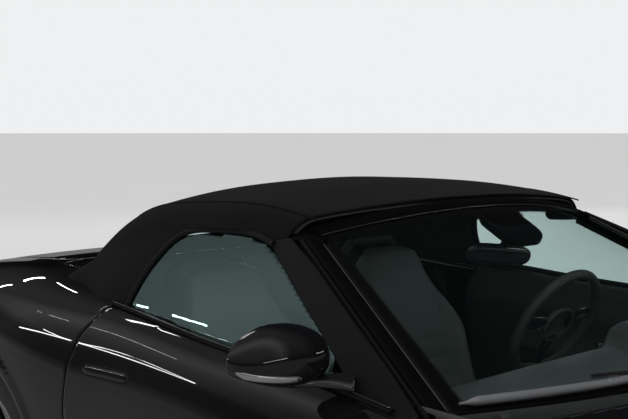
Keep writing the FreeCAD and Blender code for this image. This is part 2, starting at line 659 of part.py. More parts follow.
def roof_loft(inset=0.0):
    """Form of the raised roof, or the same form further in."""
    wires = []
    for anchor, offset, foot_x, foot_up, rail_x, rail_up, seam_x, seam_up, crown_up in ROOF_SECTIONS:
        y = y_of(ANCHOR[anchor] + offset)
        wires.append(arch_wire([
            Vector(foot_x - inset, y, BELT + foot_up),
            Vector(rail_x - inset, y, ROOF + rail_up - 0.4 * inset),
            Vector(seam_x - 0.5 * inset, y, ROOF + seam_up - 0.9 * inset),
            Vector(0, y, ROOF + crown_up - inset),
        ], (0.02, 0.12)))
    return Part.makeLoft(wires, True, False)


# Side window of the left door, from its lower front corner (distance from nose, height)
WINDOW_ARCH = [(2322, -138), (2441, -121), (2617, -127), (2711, -137), (2758, -155), (2798, -200), (2825, -258)]
GLASS_LEAN = 0.66


def side_window(grow_top=0.0, grow_rear=0.0):
    """Side-view outline of the glass above the door, grown at its top and rear."""
    top, rear = grow_top, grow_rear
    arch = [(DOOR_FRONT + s - 1450 + (rear if s > 2790 else 0), ROOF + z + top) for s, z in WINDOW_ARCH]
    front = [(DOOR_FRONT + 376, BELT - 8.5 if not top else BELT - 200)]
    end = [(DOOR_FRONT + 1380 + rear, BELT + 20), (DOOR_FRONT + 1380 + rear, BELT + 16.3 if not top else BELT - 200)]
    belt = [] if top else [(DOOR_FRONT + 1350, BELT + 15.3), (DOOR_FRONT + 1165, BELT + 7.3),
                           (DOOR_FRONT + 965, BELT - 1.7), (DOOR_FRONT + 840, BELT - 4.7)]
    return side_points(front + arch + end + belt)


def side_glass():
    """Left door glass, a leaning flat pane that stands on the door's top edge."""
    lean = [(790, BELT), (790 - 400 * GLASS_LEAN, BELT + 400), (785 - 400 * GLASS_LEAN, BELT + 400), (785, BELT)]
    low = [(790 + 60 * GLASS_LEAN, BELT - 60), (785 + 60 * GLASS_LEAN, BELT - 60)]
    plate = prism([lean[1], lean[2], low[1], low[0]], "y", y_of(DOOR_FRONT), y_of(DOOR_REAR))
    return biggest(plate.common(prism(side_window(), "x", 0, FAR)))


def soft_top():
    """Fabric roof with openings for the side windows and the rear glass."""
    shell = roof_loft().cut(roof_loft(size("fabric_thickness")))
    header = prism(plan_points([(0, 2000), (FAR, 2000), (FAR, 2330), (680, 2330), (592, 2310), (300, 2250), (0, 2231)]),
                   "z", BELT - 200, ROOF + 200)
    window = prism(side_window(GAP, 12), "x", 540, FAR)
    rear_hole = prism(plan_points([(0, REAR_AXLE - 200), (380, REAR_AXLE - 190), (330, REAR_AXLE + 50), (0, REAR_AXLE + 62)]),
                      "z", BELT, ROOF + 100)
    return biggest(cut_all(shell, [header, window, mirrored(window), rear_hole, RAISED]))


def rear_window():
    """Glass in the roof's rear slope."""
    pane = roof_loft(8).cut(roof_loft(8 + size("glass_thickness")))
    hole = prism(plan_points([(0, REAR_AXLE - 199.6), (379.6, REAR_AXLE - 189.6), (329.6, REAR_AXLE + 49.6),
                              (0, REAR_AXLE + 61.6)]), "z", BELT + 60, ROOF + 100)
    return biggest(pane.common(hole))


# Windscreen edges: corner (x, distance from nose, z) and middle (distance from nose, z)
SCREEN_LOW = ((731, FIREWALL + 183, BELT - 27), (FIREWALL - 6, BELT - 14))
SCREEN_TOP = ((553, DOOR_FRONT + 790, ROOF - 116), (DOOR_FRONT + 716, ROOF - 62))


def screen_arc(edge):
    """Arc along the lower or upper edge of the windscreen's outer face."""
    (x, s, z), (mid_s, mid_z) = edge
    return Part.Arc(Vector(x, y_of(s), z), Vector(0, y_of(mid_s), mid_z), Vector(-x, y_of(s), z)).toShape()


def windscreen():
    """Curved glass between its lower and upper edges."""
    face = Part.makeRuledSurface(screen_arc(SCREEN_LOW), screen_arc(SCREEN_TOP))
    return face.extrude(Vector(0, 0.42, -0.9) * size("screen_thickness"))


def windscreen_frame():
    """Two pillars with their feet, and the header beam."""
    (low_x, low_s, low_z), _ = SCREEN_LOW
    (top_x, top_s, top_z), (mid_s, mid_z) = SCREEN_TOP
    inwards = Vector(0, 0.42, -0.9)
    outline = [(CLEAR, -3), (38, 0), (46, 14), (44, 58), (-18, 60), (-22, 14), (CLEAR, 12)]
    ends = []
    for x, s, z in (SCREEN_LOW[0], SCREEN_TOP[0]):
        corners = [Vector(x + dx, y_of(s), z) + inwards * depth for dx, depth in outline]
        ends.append(Part.makePolygon(corners + corners[:1]))
    pillar = Part.makeLoft(ends, True, True)
    foot = block(POST_X - 10, low_x + 14, low_s - 3, low_s + 26, BELT - 94.7, low_z - 20)
    beam_outline = [(1.5, 3), (52, 20), (60, -8), (30, -26), (8, -16)]
    rings = []
    for x, s, z in ((top_x + 38, top_s + 6, top_z - 6), (0, mid_s, mid_z), (-top_x - 38, top_s + 6, top_z - 6)):
        corners = [Vector(x, y_of(s + ds), z + dz) for ds, dz in beam_outline]
        rings.append(Part.makePolygon(corners + corners[:1]))
    beam = Part.makeLoft(rings, True, False)
    room = windscreen()
    room.translate(inwards * -CLEAR)
    frame = join([pillar, foot, mirrored(pillar), mirrored(foot), beam])
    return biggest(cut_all(frame, [windscreen(), room]))


# Smaller fixed pieces

# Door mirror's head from root to tip: x, distance behind the door's front edge, top, bottom, reach ahead, reach behind
MIRROR_SECTIONS = [
    (829, 457, 1032, 977, 33, 18),
    (852, 464, 1056, 955, 60, 32),
    (900, 481, 1065, 943, 74, 40),
    (967, 507, 1047, 957, 69, 37),
    (1000, 521, 1021, 970, 46, 25),
    (1014, 525, 1003, 981, 22, 12),
]


def mirror_section(x, behind, top, low, fore, aft):
    """Section of the mirror's head: round ahead and flat on its glass side."""
    y = y_of(DOOR_FRONT + behind)
    corners = [Vector(x, y + aft, low), Vector(x, y - 0.2 * fore, low), Vector(x, y - 0.2 * fore, top), Vector(x, y + aft, top)]
    nose = Part.Arc(corners[1], Vector(x, y - fore, (top + low) / 2), corners[2]).toShape()
    return Part.Wire([Part.makeLine(corners[0], corners[1]), nose, Part.makeLine(corners[2], corners[3]),
                      Part.makeLine(corners[3], corners[0])])


def door_mirror():
    """Left door mirror: head, arm and foot, standing on the door's top edge."""
    head = Part.makeLoft([mirror_section(*row) for row in MIRROR_SECTIONS], True, False)
    start = DOOR_FRONT + 420
    ends = []
    for x, s, z, half_length, half_height in ((800, start - 6, 952, 46, 10), (870, start + 46, 958, 34, 12)):
        ring = [Vector(x, y_of(s + a * half_length), z + b * half_height) for a, b in ((-1, 0), (-0.7, -1), (0.7, -1), (1, 0),
                                                                                         (0.7, 1), (-0.7, 1))]
        ends.append(Part.makePolygon(ring + ring[:1]))
    arm = Part.makeLoft(ends, True, True)
    foot = block(792, 826, start - 40, start + 30, BELT - 60, BELT + 10)
    pane = side_glass()
    return biggest(cut_all(join([head, arm, foot]), [RAISED, pane, pane.translated(Vector(CLEAR, 0, 0))]))


def wipers():
    """Two wipers parked along the windscreen's foot, their tips towards the passenger's side."""
    foot = BELT - 92 + CLEAR
    driver = [(500, FIREWALL + 57, foot), (500, FIREWALL + 57, BELT + 4), (-40, FIREWALL + 40, BELT + 28)]
    passenger = [(-60, FIREWALL - 14, foot), (-60, FIREWALL - 14, BELT + 12), (-620, FIREWALL + 160, BELT + 16)]
    return Part.makeCompound([bent_bar(points, 6) for points in (driver, passenger)])


def dashboard():
    """Dashboard across the cabin, with the instrument hood ahead of the driver."""
    profile = side_points([(FIREWALL + 60, BELT - 130), (FIREWALL + 90, BELT - 62), (FIREWALL + 380, BELT - 40),
                           (FIREWALL + 450, BELT - 75), (FIREWALL + 430, BELT - 300), (FIREWALL + 330, BELT - 360),
                           (FIREWALL + 60, BELT - 330)])
    body = prism(profile, "x", -689.7, 689.7)
    hood = prism(side_points([(FIREWALL + 300, BELT - 60), (FIREWALL + 380, BELT + 2), (FIREWALL + 500, BELT - 6),
                              (FIREWALL + 470, BELT - 90)]), "x", size("seat_offset") - 190, size("seat_offset") + 190)
    sleeve = Part.makeCylinder(36, 350, Vector(0, 0, -386))
    bore = Part.makeCylinder(20 + size("pin_clearance"), 82, Vector(0, 0, -118))
    column = sleeve.cut(bore)
    seat_on_column(column)
    hole = bore.copy()
    seat_on_column(hole)
    post_room = block(POST_X - 64 - CLEAR, 700, FIREWALL, FIREWALL + 215 + CLEAR, FLOOR, BELT + 50)
    vents = [block(x - 62, x + 62, FIREWALL + 410, FIREWALL + 500, BELT - 128, BELT - 96) for x in (-600, -70, 70, 630)]
    return biggest(cut_all(join([body, hood, column]), [hole, post_room, mirrored(post_room), *vents]))


def seat_on_column(shape):
    """Moves a shape made round the steering column's axis to its place in the car."""
    shape.rotate(Vector(0, 0, 0), Vector(1, 0, 0), -(90 - COLUMN_LEAN))
    shape.translate(Vector(size("seat_offset"), y_of(DOOR_FRONT + 740), BELT - 80))


PIECES = []


def keep(name, shape):
    """Adds a sub-part whose free-form shape is made here."""
    obj = doc.addObject("Part::Feature", name)
    obj.Label = name
    obj.Shape = shape
    PIECES.append(obj)
    return obj


# Parametric bodies

def new_body(name):
    body = doc.addObject("PartDesign::Body", name)
    body.Label = name
    PIECES.append(body)
    return body


def place(obj, x, y, z):
    """Binds an object's position to the sheet."""
    for axis, value in zip("xyz", (x, y, z)):
        obj.setExpression(f"Placement.Base.{axis}", as_dim(value).text)


def outline_sketch(body, name, plane, corners, offset=0):
    """Closed outline on an origin plane; each corner's coordinates follow the sheet."""
    sketch = body.newObject("Sketcher::SketchObject", name)
    support = next(p for p in body.Origin.OriginFeatures if p.Role == plane)
    sketch.AttachmentSupport = [(support, "")]
    sketch.MapMode = "FlatFace"
    sketch.setExpression("AttachmentOffset.Base.z", as_dim(offset).text)
    corners = [(as_dim(u), as_dim(v)) for u, v in corners]
    ends = [Vector(float(u), float(v), 0) for u, v in corners]
    count = len(ends)
    for i, start in enumerate(ends):
        sketch.addGeometry(Part.LineSegment(start, ends[(i + 1) % count]), False)
    for i in range(count):
        sketch.addConstraint(Sketcher.Constraint("Coincident", i, 2, (i + 1) % count, 1))
    for i, corner in enumerate(corners):
        for kind, value in zip(("DistanceX", "DistanceY"), corner):
            number = sketch.addConstraint(Sketcher.Constraint(kind, -1, 1, i, 1, value.number))
            sketch.setExpression(f"Constraints[{number}]", value.text)
    return sketch


def pad(body, name, sketch, length):
    feature = body.newObject("PartDesign::Pad", name)
    feature.Profile = sketch
    feature.setExpression("Length", as_dim(length).text)
    sketch.Visibility = False
    return feature


def loft(body, name, start, end):
    """Solid between two outlines."""
    feature = body.newObject("PartDesign::AdditiveLoft", name)
    feature.Profile = start
    feature.Sections = [end]
    start.Visibility = end.Visibility = False
    return feature


def revolve(body, name, sketch, axis):
    feature = body.newObject("PartDesign::Revolution", name)
    feature.Profile = sketch
    feature.ReferenceAxis = (sketch, [axis])
    feature.Angle = 360
    sketch.Visibility = False
    return feature


def ring_pattern(body, name, feature, axis_sketch, axis, count):
    """Repeats a feature round an axis."""
    pattern = body.newObject("PartDesign::PolarPattern", name)
    pattern.Originals = [feature]
    pattern.Axis = (axis_sketch, [axis])
    pattern.Angle = 360
    pattern.Occurrences = count
    body.Tip = pattern
    return pattern


WHEEL_CORNERS = {
    "front_left": (1, "front"), "front_right": (-1, "front"), "rear_left": (1, "rear"), "rear_right": (-1, "rear"),
}


def wheel_place(obj, corner):
    """Puts a wheel or tyre at its corner of the car, its outer face outwards."""
    side, end = WHEEL_CORNERS[corner]
    track = dim(f"{end}_track") * (0.5 * side)
    s = dim("front_overhang") if end == "front" else dim("front_overhang") + dim("wheelbase")
    if side < 0:
        obj.Placement = FreeCAD.Placement(Vector(0, 0, 0), FreeCAD.Rotation(Vector(0, 0, 1), 180))
    place(obj, track, s - dim("overall_length") * 0.5, dim("tyre_radius"))


def make_tyre(corner):
    """Tyre: tread, sidewalls and beads, open towards the rim."""
    body = new_body(f"tyre_{corner}")
    half = dim(f"{WHEEL_CORNERS[corner][1]}_tyre_width") * 0.5
    outer, bead = dim("tyre_radius"), dim("rim_radius") + dim("seat_clearance")
    left = [(half - 31.5, bead), (half - 15.5, bead), (half - 15.5, bead + 14), (half, bead + 36), (half, outer - 24),
            (half - 13, outer - 4), (half - 36, outer)]
    inner = [(half - 36, outer - 14), (half - 20, outer - 30), (half - 20, bead + 32)]
    ring = left + [(-x, r) for x, r in reversed(left)] + [(-x, r) for x, r in reversed(inner)] + inner
    revolve(body, f"tyre_{corner}_ring", outline_sketch(body, f"tyre_{corner}_profile", "XZ_Plane", ring), "H_Axis")
    wheel_place(body, corner)


def make_wheel(corner):
    """Rim with ten spokes, hub and brake disc."""
    body = new_body(f"wheel_{corner}")
    half = dim(f"{WHEEL_CORNERS[corner][1]}_tyre_width") * 0.5 - 15.2
    rim = dim("rim_radius")
    bore = dim("spindle_radius") + dim("pin_clearance")
    barrel = [(half + 6, rim - 16), (half + 6, rim + 8), (half, rim + 8), (half, rim), (-half, rim), (-half, rim + 8),
              (-half - 6, rim + 8), (-half - 6, rim - 16)]
    barrel_sketch = outline_sketch(body, f"wheel_{corner}_barrel_profile", "XZ_Plane", barrel)
    revolve(body, f"wheel_{corner}_barrel", barrel_sketch, "H_Axis")
    hub = [(-36, bore), (-36, 175), (-14, 175), (-14, 70), (40, 70), (40, 74), (76, 74), (96, 40), (96, bore)]
    hub_sketch = outline_sketch(body, f"wheel_{corner}_hub_profile", "XZ_Plane", hub)
    root, tip = dim("spoke_root") * 0.5, dim("spoke_tip") * 0.5
    inner = outline_sketch(body, f"wheel_{corner}_spoke_root", "XY_Plane",
                           [(58, -root), (82, -root * 0.5), (82, root * 0.5), (58, root)], 60)
    outer = outline_sketch(body, f"wheel_{corner}_spoke_tip", "XY_Plane",
                           [(half - 26, -tip), (half - 6, -tip * 0.7), (half - 6, tip * 0.7), (half - 26, tip)], rim - 8)
    arm = loft(body, f"wheel_{corner}_spoke", inner, outer)
    ring_pattern(body, f"wheel_{corner}_spokes", arm, barrel_sketch, "H_Axis", 10)
    revolve(body, f"wheel_{corner}_hub", hub_sketch, "H_Axis")
    wheel_place(body, corner)


def make_floor():
    """Cabin floor with the tunnel down its middle."""
    body = new_body("floor_pan")
    top, low = dim("floor_height"), dim("floor_height") - dim("floor_thickness")
    length = dim("wheelbase") - 1007.6
    start = dim("front_overhang") + 602.3 - dim("overall_length") * 0.5
    section = [(-745, low), (-98, low), (-92, 370), (92, 370), (98, low), (745, low), (745, top), (119, top),
               (112, 400), (-112, 400), (-119, top), (-745, top)]
    sketch = outline_sketch(body, "floor_section", "XZ_Plane", section, -(start + length))
    pad(body, "floor_length", sketch, length)


def make_engine():
    """Engine as one block between the front rails."""
    body = new_body("engine")
    half, low = dim("engine_width") * 0.5, 232
    top = dim("engine_height") + low
    start = dim("front_overhang") - 160 - dim("overall_length") * 0.5
    section = [(-half + 120, low), (half - 120, low), (half, 432), (half, top - 70), (half - 90, top), (-half + 90, top),
               (-half, top - 70), (-half, 432)]
    sketch = outline_sketch(body, "engine_section", "XZ_Plane", section, -(start + dim("engine_length")))
    pad(body, "engine_block", sketch, dim("engine_length"))


def make_console():
    """Centre console on the tunnel."""
    body = new_body("centre_console")
    y0 = dim("front_overhang") + 1062 - dim("overall_length") * 0.5
    side = [(y0 - 30, 400.3), (y0 + 800, 400.3), (y0 + 800, 590), (y0 + 560, 610), (y0 + 180, 560), (y0 + 40, 640),
            (y0 - 30, 640)]
    sketch = outline_sketch(body, "console_side", "YZ_Plane", side, -105)
    pad(body, "console_width", sketch, 210)


def make_seat(side):
    """Seat with cushion, leaning backrest with built-in head restraint, and raised bolsters."""
    name = "seat_left" if side > 0 else "seat_right"
    body = new_body(name)
    y0 = dim("door_front") - dim("overall_length") * 0.5
    floor = dim("floor_height") + dim("seat_clearance")
    foot = [(y0 + 760, floor), (y0 + 1240, floor), (y0 + 1290, 330)]
    middle = foot + [(y0 + 1475, 800), (y0 + 1540, 940), (y0 + 1560, 1020), (y0 + 1500, 1060), (y0 + 1450, 960),
                     (y0 + 1400, 800), (y0 + 1205, 410), (y0 + 730, 430), (y0 + 700, 360)]
    bolster = foot + [(y0 + 1465, 775), (y0 + 1430, 812), (y0 + 1370, 790), (y0 + 1290, 650), (y0 + 1150, 465),
                      (y0 + 900, 468), (y0 + 740, 448), (y0 + 705, 370)]
    width, edge = dim("seat_width"), dim("seat_bolster")
    start = dim("seat_offset") * side - width * 0.5
    strips = (("cushion", middle, start + edge, width - edge * 2), ("inner_bolster", bolster, start, edge),
              ("outer_bolster", bolster, start + width - edge, edge))
    for part, outline, left, across_it in strips:
        pad(body, f"{name}_{part}", outline_sketch(body, f"{name}_{part}_side", "YZ_Plane", outline, left), across_it)


def make_knuckle(side):
    """Front upright with caliper, steering-pin bore and wheel spindle."""
    z, s = WHEEL_Z, FRONT_AXLE
    upright_block = block(KINGPIN_X - 26, KINGPIN_X + 30, s - 34, s + 34, z - 112, z + 112)
    spindle = across(size("spindle_radius"), s, z, KINGPIN_X, FRONT_X + 88)
    caliper = block(KINGPIN_X - 10, FRONT_X + 28, s + 96, s + 200, z - 60, z + 60)
    caliper = caliper.cut(block(FRONT_X - 43, FRONT_X - 7, s + 60, s + 183, z - 80, z + 80))
    caliper = caliper.cut(across(104, s, z, KINGPIN_X + 20, FRONT_X + 60))
    tie = block(KINGPIN_X - 16, KINGPIN_X + 16, s + 30, s + 120, z - 20, z + 20)
    shape = join([upright_block, spindle, caliper, tie])
    shape = shape.cut(upright(size("kingpin_radius") + size("pin_clearance"), KINGPIN_X, s, z - 130, z + 130))
    return biggest(shape if side > 0 else mirrored(shape))


def front_suspension():
    """Cross member, wishbones with steering pins, and struts."""
    z, s = WHEEL_Z, FRONT_AXLE
    member = block(-440, 440, s - 45, s + 45, 190, 226)
    lower = block(430, KINGPIN_X + 16, s - 16, s + 16, z - 140, z - 118)
    upper = block(466 + CLEAR, KINGPIN_X + 16, s - 16, s + 16, z + 118, z + 138)
    pin = Part.makeCylinder(size("kingpin_radius"), 256, Vector(KINGPIN_X, y_of(s), z - 128))
    strut = Part.makeCylinder(22, WHEEL_Z + size("front_arch_depth") - 207, Vector(590, y_of(s), 205))
    engine_pad = block(90, 170, s - 40, s + 40, 220, 232 - CLEAR)
    side = [lower, upper, pin, strut, engine_pad]
    return join([member] + side + [mirrored(part) for part in side])


def rear_suspension():
    """Rear cross member with final drive, arms, uprights and spindles."""
    z, s = WHEEL_Z, REAR_AXLE
    member = block(-560, 560, s - 60, s + 60, 230, 290)
    drive = across(80 - CLEAR, s, z, -120, 120)
    arm = block(540, REAR_X - 60, s - 24, s + 24, 245, 275)
    shaft = across(18, s, z, 0, REAR_X - 60)
    post = block(REAR_X - 104, REAR_X - 48, s - 34, s + 34, z - 112, z + 112)
    spindle = across(size("spindle_radius"), s, z, REAR_X - 60, REAR_X + 88)
    side = [arm, shaft, post, spindle]
    return join([member, drive] + side + [mirrored(part) for part in side])


def exhaust():
    """Exhaust from the engine to two tailpipes, with a silencer."""
    r = size("exhaust_radius")
    pipe = bent_bar([(90, FRONT_AXLE + 512, 262), (60, FRONT_AXLE + 530, 110 + r), (60, REAR_AXLE - 160, 110 + r),
                     (200, REAR_AXLE + 230, 190 + r), (200, REAR_AXLE + 420, 190 + r)], r)
    silencer = block(-470, 470, REAR_AXLE + 400, REAR_AXLE + 640, 190, 300)
    tail = bent_bar([(520, REAR_AXLE + 560, 245), (520, LENGTH - 95, 245)], 45)
    link = block(440, 540, REAR_AXLE + 560, REAR_AXLE + 620, 215, 275)
    mouth = Part.makeCylinder(39, 110, Vector(520, y_of(LENGTH - 205), 245), Vector(0, 1, 0))
    tail = tail.cut(mouth)
    return join([pipe, silencer, tail, link, mirrored(tail), mirrored(link)])


def steering_wheel():
    """Steering wheel rim with three spokes and hub, leaning towards the driver."""
    ring = Part.makeTorus(size("steering_wheel_radius"), 16)
    hub = Part.makeCylinder(58, 40, Vector(0, 0, -28))
    stem = Part.makeCylinder(20, 90, Vector(0, 0, -110))
    spokes = []
    for angle in (0, 180, 270):
        spoke = Part.makeBox(150, 34, 14, Vector(35, -17, -10))
        spoke.rotate(Vector(0, 0, 0), Vector(0, 0, 1), angle)
        spokes.append(spoke)
    wheel = join([ring, hub, stem] + spokes)
    seat_on_column(wheel)
    return wheel


def build_pieces():
    """Makes every sub-part."""
    keep("bonnet", bonnet())
    keep("boot_lid", boot_lid())
    keep("rear_deck", deck())
    for name, maker in (("wing", wing), ("quarter", quarter), ("door", door), ("door_glass", side_glass),
                        ("door_mirror", door_mirror)):
        shape = maker()
        keep(f"{name}_left", shape)
        keep(f"{name}_right", mirrored(shape))
    keep("side_sills", both(sill()))
    keep("front_bumper", front_bumper())
    keep("grille", grille())
    keep("headlamps", headlamps())
    keep("rear_bumper", rear_bumper())
    keep("tail_lamps", tail_lamps())
    keep("front_inner_body", front_inner_body())
    keep("rear_inner_body", rear_inner_body())
    keep("soft_top", soft_top())
    keep("rear_window", rear_window())
    keep("windscreen", windscreen())
    keep("windscreen_frame", windscreen_frame())
    keep("wipers", wipers())
    keep("dashboard", dashboard())
    keep("front_suspension", front_suspension())
    keep("rear_suspension", rear_suspension())
    keep("exhaust", exhaust())
    keep("steering_wheel", steering_wheel())
    for side, name in ((1, "knuckle_left"), (-1, "knuckle_right")):
        keep(name, make_knuckle(side))
    make_floor()
    make_engine()
    make_console()
    for side in (1, -1):
        make_seat(side)
    for corner in WHEEL_CORNERS:
        make_tyre(corner)
        make_wheel(corner)


def export_pieces():
    """Checks every sub-part and writes its STEP file."""
    os.makedirs("parts", exist_ok=True)
    for obj in doc.Objects:
        if "Invalid" in obj.State or "Error" in obj.State:
            raise RuntimeError(f"{obj.Label} could not be computed")
    for obj in PIECES:
        if obj.Shape.isNull() or not obj.Shape.isValid() or not obj.Shape.Solids:
            raise RuntimeError(f"{obj.Label} has no valid solid")
        obj.Shape.exportStep(f"parts/{obj.Label}.step")


build_pieces()
doc.recompute()
export_pieces()
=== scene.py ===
"""Looks of the two-seat convertible car: paint, fabric roof, glass, trim, cabin and wheels.

Shapes are worked out in car coordinates: x to the car's left, s back from the nose and z up, in metres.
"""
import json

import bpy
import numpy as np
from bpy.props import FloatProperty, FloatVectorProperty, IntProperty, PointerProperty
from mathutils import Matrix, Vector


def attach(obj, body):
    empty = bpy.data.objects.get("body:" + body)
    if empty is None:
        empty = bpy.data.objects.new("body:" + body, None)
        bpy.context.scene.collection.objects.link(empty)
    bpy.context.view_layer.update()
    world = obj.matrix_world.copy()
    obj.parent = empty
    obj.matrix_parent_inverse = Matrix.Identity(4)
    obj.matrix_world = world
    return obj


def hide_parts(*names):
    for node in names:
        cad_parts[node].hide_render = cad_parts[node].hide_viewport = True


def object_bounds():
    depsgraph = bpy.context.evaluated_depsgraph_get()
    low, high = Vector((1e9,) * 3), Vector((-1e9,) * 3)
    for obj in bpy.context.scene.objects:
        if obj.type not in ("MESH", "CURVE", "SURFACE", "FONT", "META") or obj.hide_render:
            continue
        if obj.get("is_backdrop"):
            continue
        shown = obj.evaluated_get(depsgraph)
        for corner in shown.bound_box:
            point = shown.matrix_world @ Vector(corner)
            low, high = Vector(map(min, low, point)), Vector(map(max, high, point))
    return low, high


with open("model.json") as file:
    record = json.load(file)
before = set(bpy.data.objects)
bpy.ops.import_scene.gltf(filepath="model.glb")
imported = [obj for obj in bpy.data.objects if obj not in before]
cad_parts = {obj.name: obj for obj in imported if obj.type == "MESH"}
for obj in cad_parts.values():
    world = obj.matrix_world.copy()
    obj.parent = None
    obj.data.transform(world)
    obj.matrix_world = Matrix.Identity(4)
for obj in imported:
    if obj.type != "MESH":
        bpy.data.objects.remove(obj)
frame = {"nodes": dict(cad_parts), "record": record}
CAD_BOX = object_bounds()

bl_info = {
    "name": "Convertible Car Looks",
    "version": (1, 0, 0),
    "blender": (4, 5, 0),
    "location": "View3D > Sidebar > Convertible",
    "description": "Paint, fabric roof, glass, cabin and wheels for a two-seat convertible car",
    "category": "Object",
}

LENGTH, HALF_WIDTH, ROOF = 4.47, 0.9615, 1.32
SILL, WAIST, BELT = 0.16, 0.62, 0.95
FRONT_AXLE, REAR_AXLE, WHEEL_Z = 0.868, 3.49, 0.34
LID_LOW = 0.715
FRONT_ARCH_R = REAR_ARCH_R = 0.378
SHUT_GAP = 0.005
SIDES = (("left", 1), ("right", -1))


# Small numpy tools

def spline(knots, values, at):
    """Natural cubic spline through table rows: second slopes solve the usual tridiagonal system, then each
    span is the cubic with those slopes."""
    knots, values, at = np.asarray(knots, float), np.asarray(values, float), np.asarray(at, float)
    gap = np.diff(knots)
    system = np.eye(len(knots))
    inner = np.arange(1, len(knots) - 1)
    system[inner, inner - 1], system[inner, inner + 1] = gap[:-1], gap[1:]
    system[inner, inner] = 2 * (gap[:-1] + gap[1:])
    slopes = np.diff(values, axis=0) / gap.reshape(-1, *[1] * (values.ndim - 1))
    right = np.zeros_like(values)
    right[1:-1] = 6 * np.diff(slopes, axis=0)
    bend = np.linalg.solve(system, right)
    span = np.clip(np.searchsorted(knots, at) - 1, 0, len(gap) - 1)
    shape = (-1, *[1] * (values.ndim - 1))
    h, u, w = (part.reshape(shape) for part in (gap[span], at - knots[span], knots[span + 1] - at))
    start, end = values[span] / h - bend[span] * h / 6, values[span + 1] / h - bend[span + 1] * h / 6
    return (bend[span] * w ** 3 + bend[span + 1] * u ** 3) / (6 * h) + start * w + end * u


def blur_matrix(count, sigma):
    """Square matrix of Gaussian weights over a row of samples, held at the row's ends."""
    index = np.arange(count)
    weights = np.exp(-0.5 * ((index[:, None] - index[None, :]) / sigma) ** 2)
    return weights / weights.sum(1, keepdims=True)


def smooth_max(a, b, width):
    """Larger of two fields, rounded over by a cubic where they differ by less than width."""
    near = np.clip(1 - np.abs(a - b) / width, 0, 1)
    return np.maximum(a, b) + width / 6 * near ** 3


def step(value, low, high):
    """Zero below low, one above high, with a smooth ramp between."""
    t = np.clip((value - low) / (high - low), 0, 1)
    return t * t * (3 - 2 * t)


def bell(value, middle, width, power=2):
    """Bell curve with a height of one, flatter on top at a higher power."""
    return np.exp(-0.5 * ((value - middle) / width) ** power)


def pairs(a, b):
    """Every pair of two rows of values, as two flat arrays."""
    first, second = np.meshgrid(a, b, indexing="ij")
    return first.ravel(), second.ravel()


def degrees(start, end, pitch):
    """Evenly spaced angles in radians, from degrees."""
    return np.radians(np.arange(start, end, pitch))


def bilinear(table, row, column):
    """Values of a table between its rows and columns."""
    row, column = (np.clip(at, 0, count - 1.001) for at, count in zip((row, column), table.shape))
    i, j = row.astype(int), column.astype(int)
    u, v = row - i, column - j
    near = table[i, j] * (1 - u) + table[i + 1, j] * u
    return near * (1 - v) + (table[i, j + 1] * (1 - u) + table[i + 1, j + 1] * u) * v


def rounded(points, rounds=3):
    """Closed outline whose corners are cut off again and again, which rounds them."""
    points = np.asarray(points, float)
    for _ in range(rounds):
        ahead = np.roll(points, -1, 0)
        points = np.stack([0.8 * points + 0.2 * ahead, 0.2 * points + 0.8 * ahead], 1).reshape(-1, 2)
    return points


def outline_distance(u, v, outline):
    """Distance from points to a closed outline, above zero inside it: nearest edge, with the sign from the
    count of edges that a ray crosses."""
    start, end = outline, np.roll(outline, -1, 0)
    du, dv = u[:, None] - start[:, 0], v[:, None] - start[:, 1]
    eu, ev = (end - start).T
    t = np.clip((du * eu + dv * ev) / (eu * eu + ev * ev), 0, 1)
    distance = np.sqrt(((du - t * eu) ** 2 + (dv - t * ev) ** 2).min(1))
    over = (start[:, 1] > v[:, None]) != (end[:, 1] > v[:, None])
    slope = eu / np.where(ev == 0, 1, ev)
    inside = (over & (du < dv * slope)).sum(1) % 2 == 1
    return np.where(inside, distance, -distance)


def section_curves(x, z, bulges, crown):
    """Half sections as rows of points: shallow parabolas between given points, then an arc to the crown."""
    t = np.linspace(0, 1, 60)
    curve_x, curve_z = [], []
    for i, bulge in enumerate(bulges):
        dx, dz = (x[:, i + 1] - x[:, i])[:, None], (z[:, i + 1] - z[:, i])[:, None]
        lift = 4 * bulge * t * (1 - t)
        curve_x.append(x[:, i, None] + dx * t + dz * lift)
        curve_z.append(z[:, i, None] + dz * t - dx * lift)
    curve_x.append(x[:, -1:] * (1 - t))
    curve_z.append(crown - (crown - z[:, -1:]) * (1 - t) ** 2)
    return np.concatenate(curve_x, 1), np.concatenate(curve_z, 1)


# Body skin, one row a station: sill, waist, shoulder and edge, each as inset from the half width and height
# above its level, then the crown's height above the belt (mm)
BODY_SECTIONS = np.array([
    (-60, 230, 20, 170, -130, 190, -330, 330, -302, -290),
    (200, 145, 15, 100, -110, 140, -285, 320, -250, -232), (488, 80, 5, 40, -60, 100, -205, 295, -165, -145),
    (868, 62, 0, 14, 0, 98, -122, 270, -98, -80), (1268, 76, 0, 27, 0, 110, -85, 238, -58, -38),
    (1510, 82, 0, 46, -10, 112, -70, 208, -34, -12), (1900, 83, 0, 49, -20, 100, -70, 178, -10, 10),
    (2400, 81, 0, 43, -10, 95, -65, 166, -2, 22), (2850, 76, 0, 31, 20, 89, -55, 168, 14, 36),
    (3190, 62, 0, 8, 85, 72, -32, 196, 26, 46), (3490, 52, 0, 0, 100, 78, -16, 258, 38, 52),
    (3870, 66, 10, 18, 90, 102, -26, 320, 26, 38), (4210, 105, 25, 62, 60, 140, -70, 358, -6, 6),
    (4530, 150, 40, 110, 30, 185, -110, 395, -40, -30),
]) / 1000
BULGES = (0.025, 0.05, 0.09)
AXIS_Z = 0.5  # height of the spine that the skin is measured from
STATION_STEP, ANGLE_STEP = 0.004, np.radians(0.25)
STATIONS = np.arange(-0.06, 4.5301, STATION_STEP)
ANGLES = degrees(-90, 90.01, 0.25)


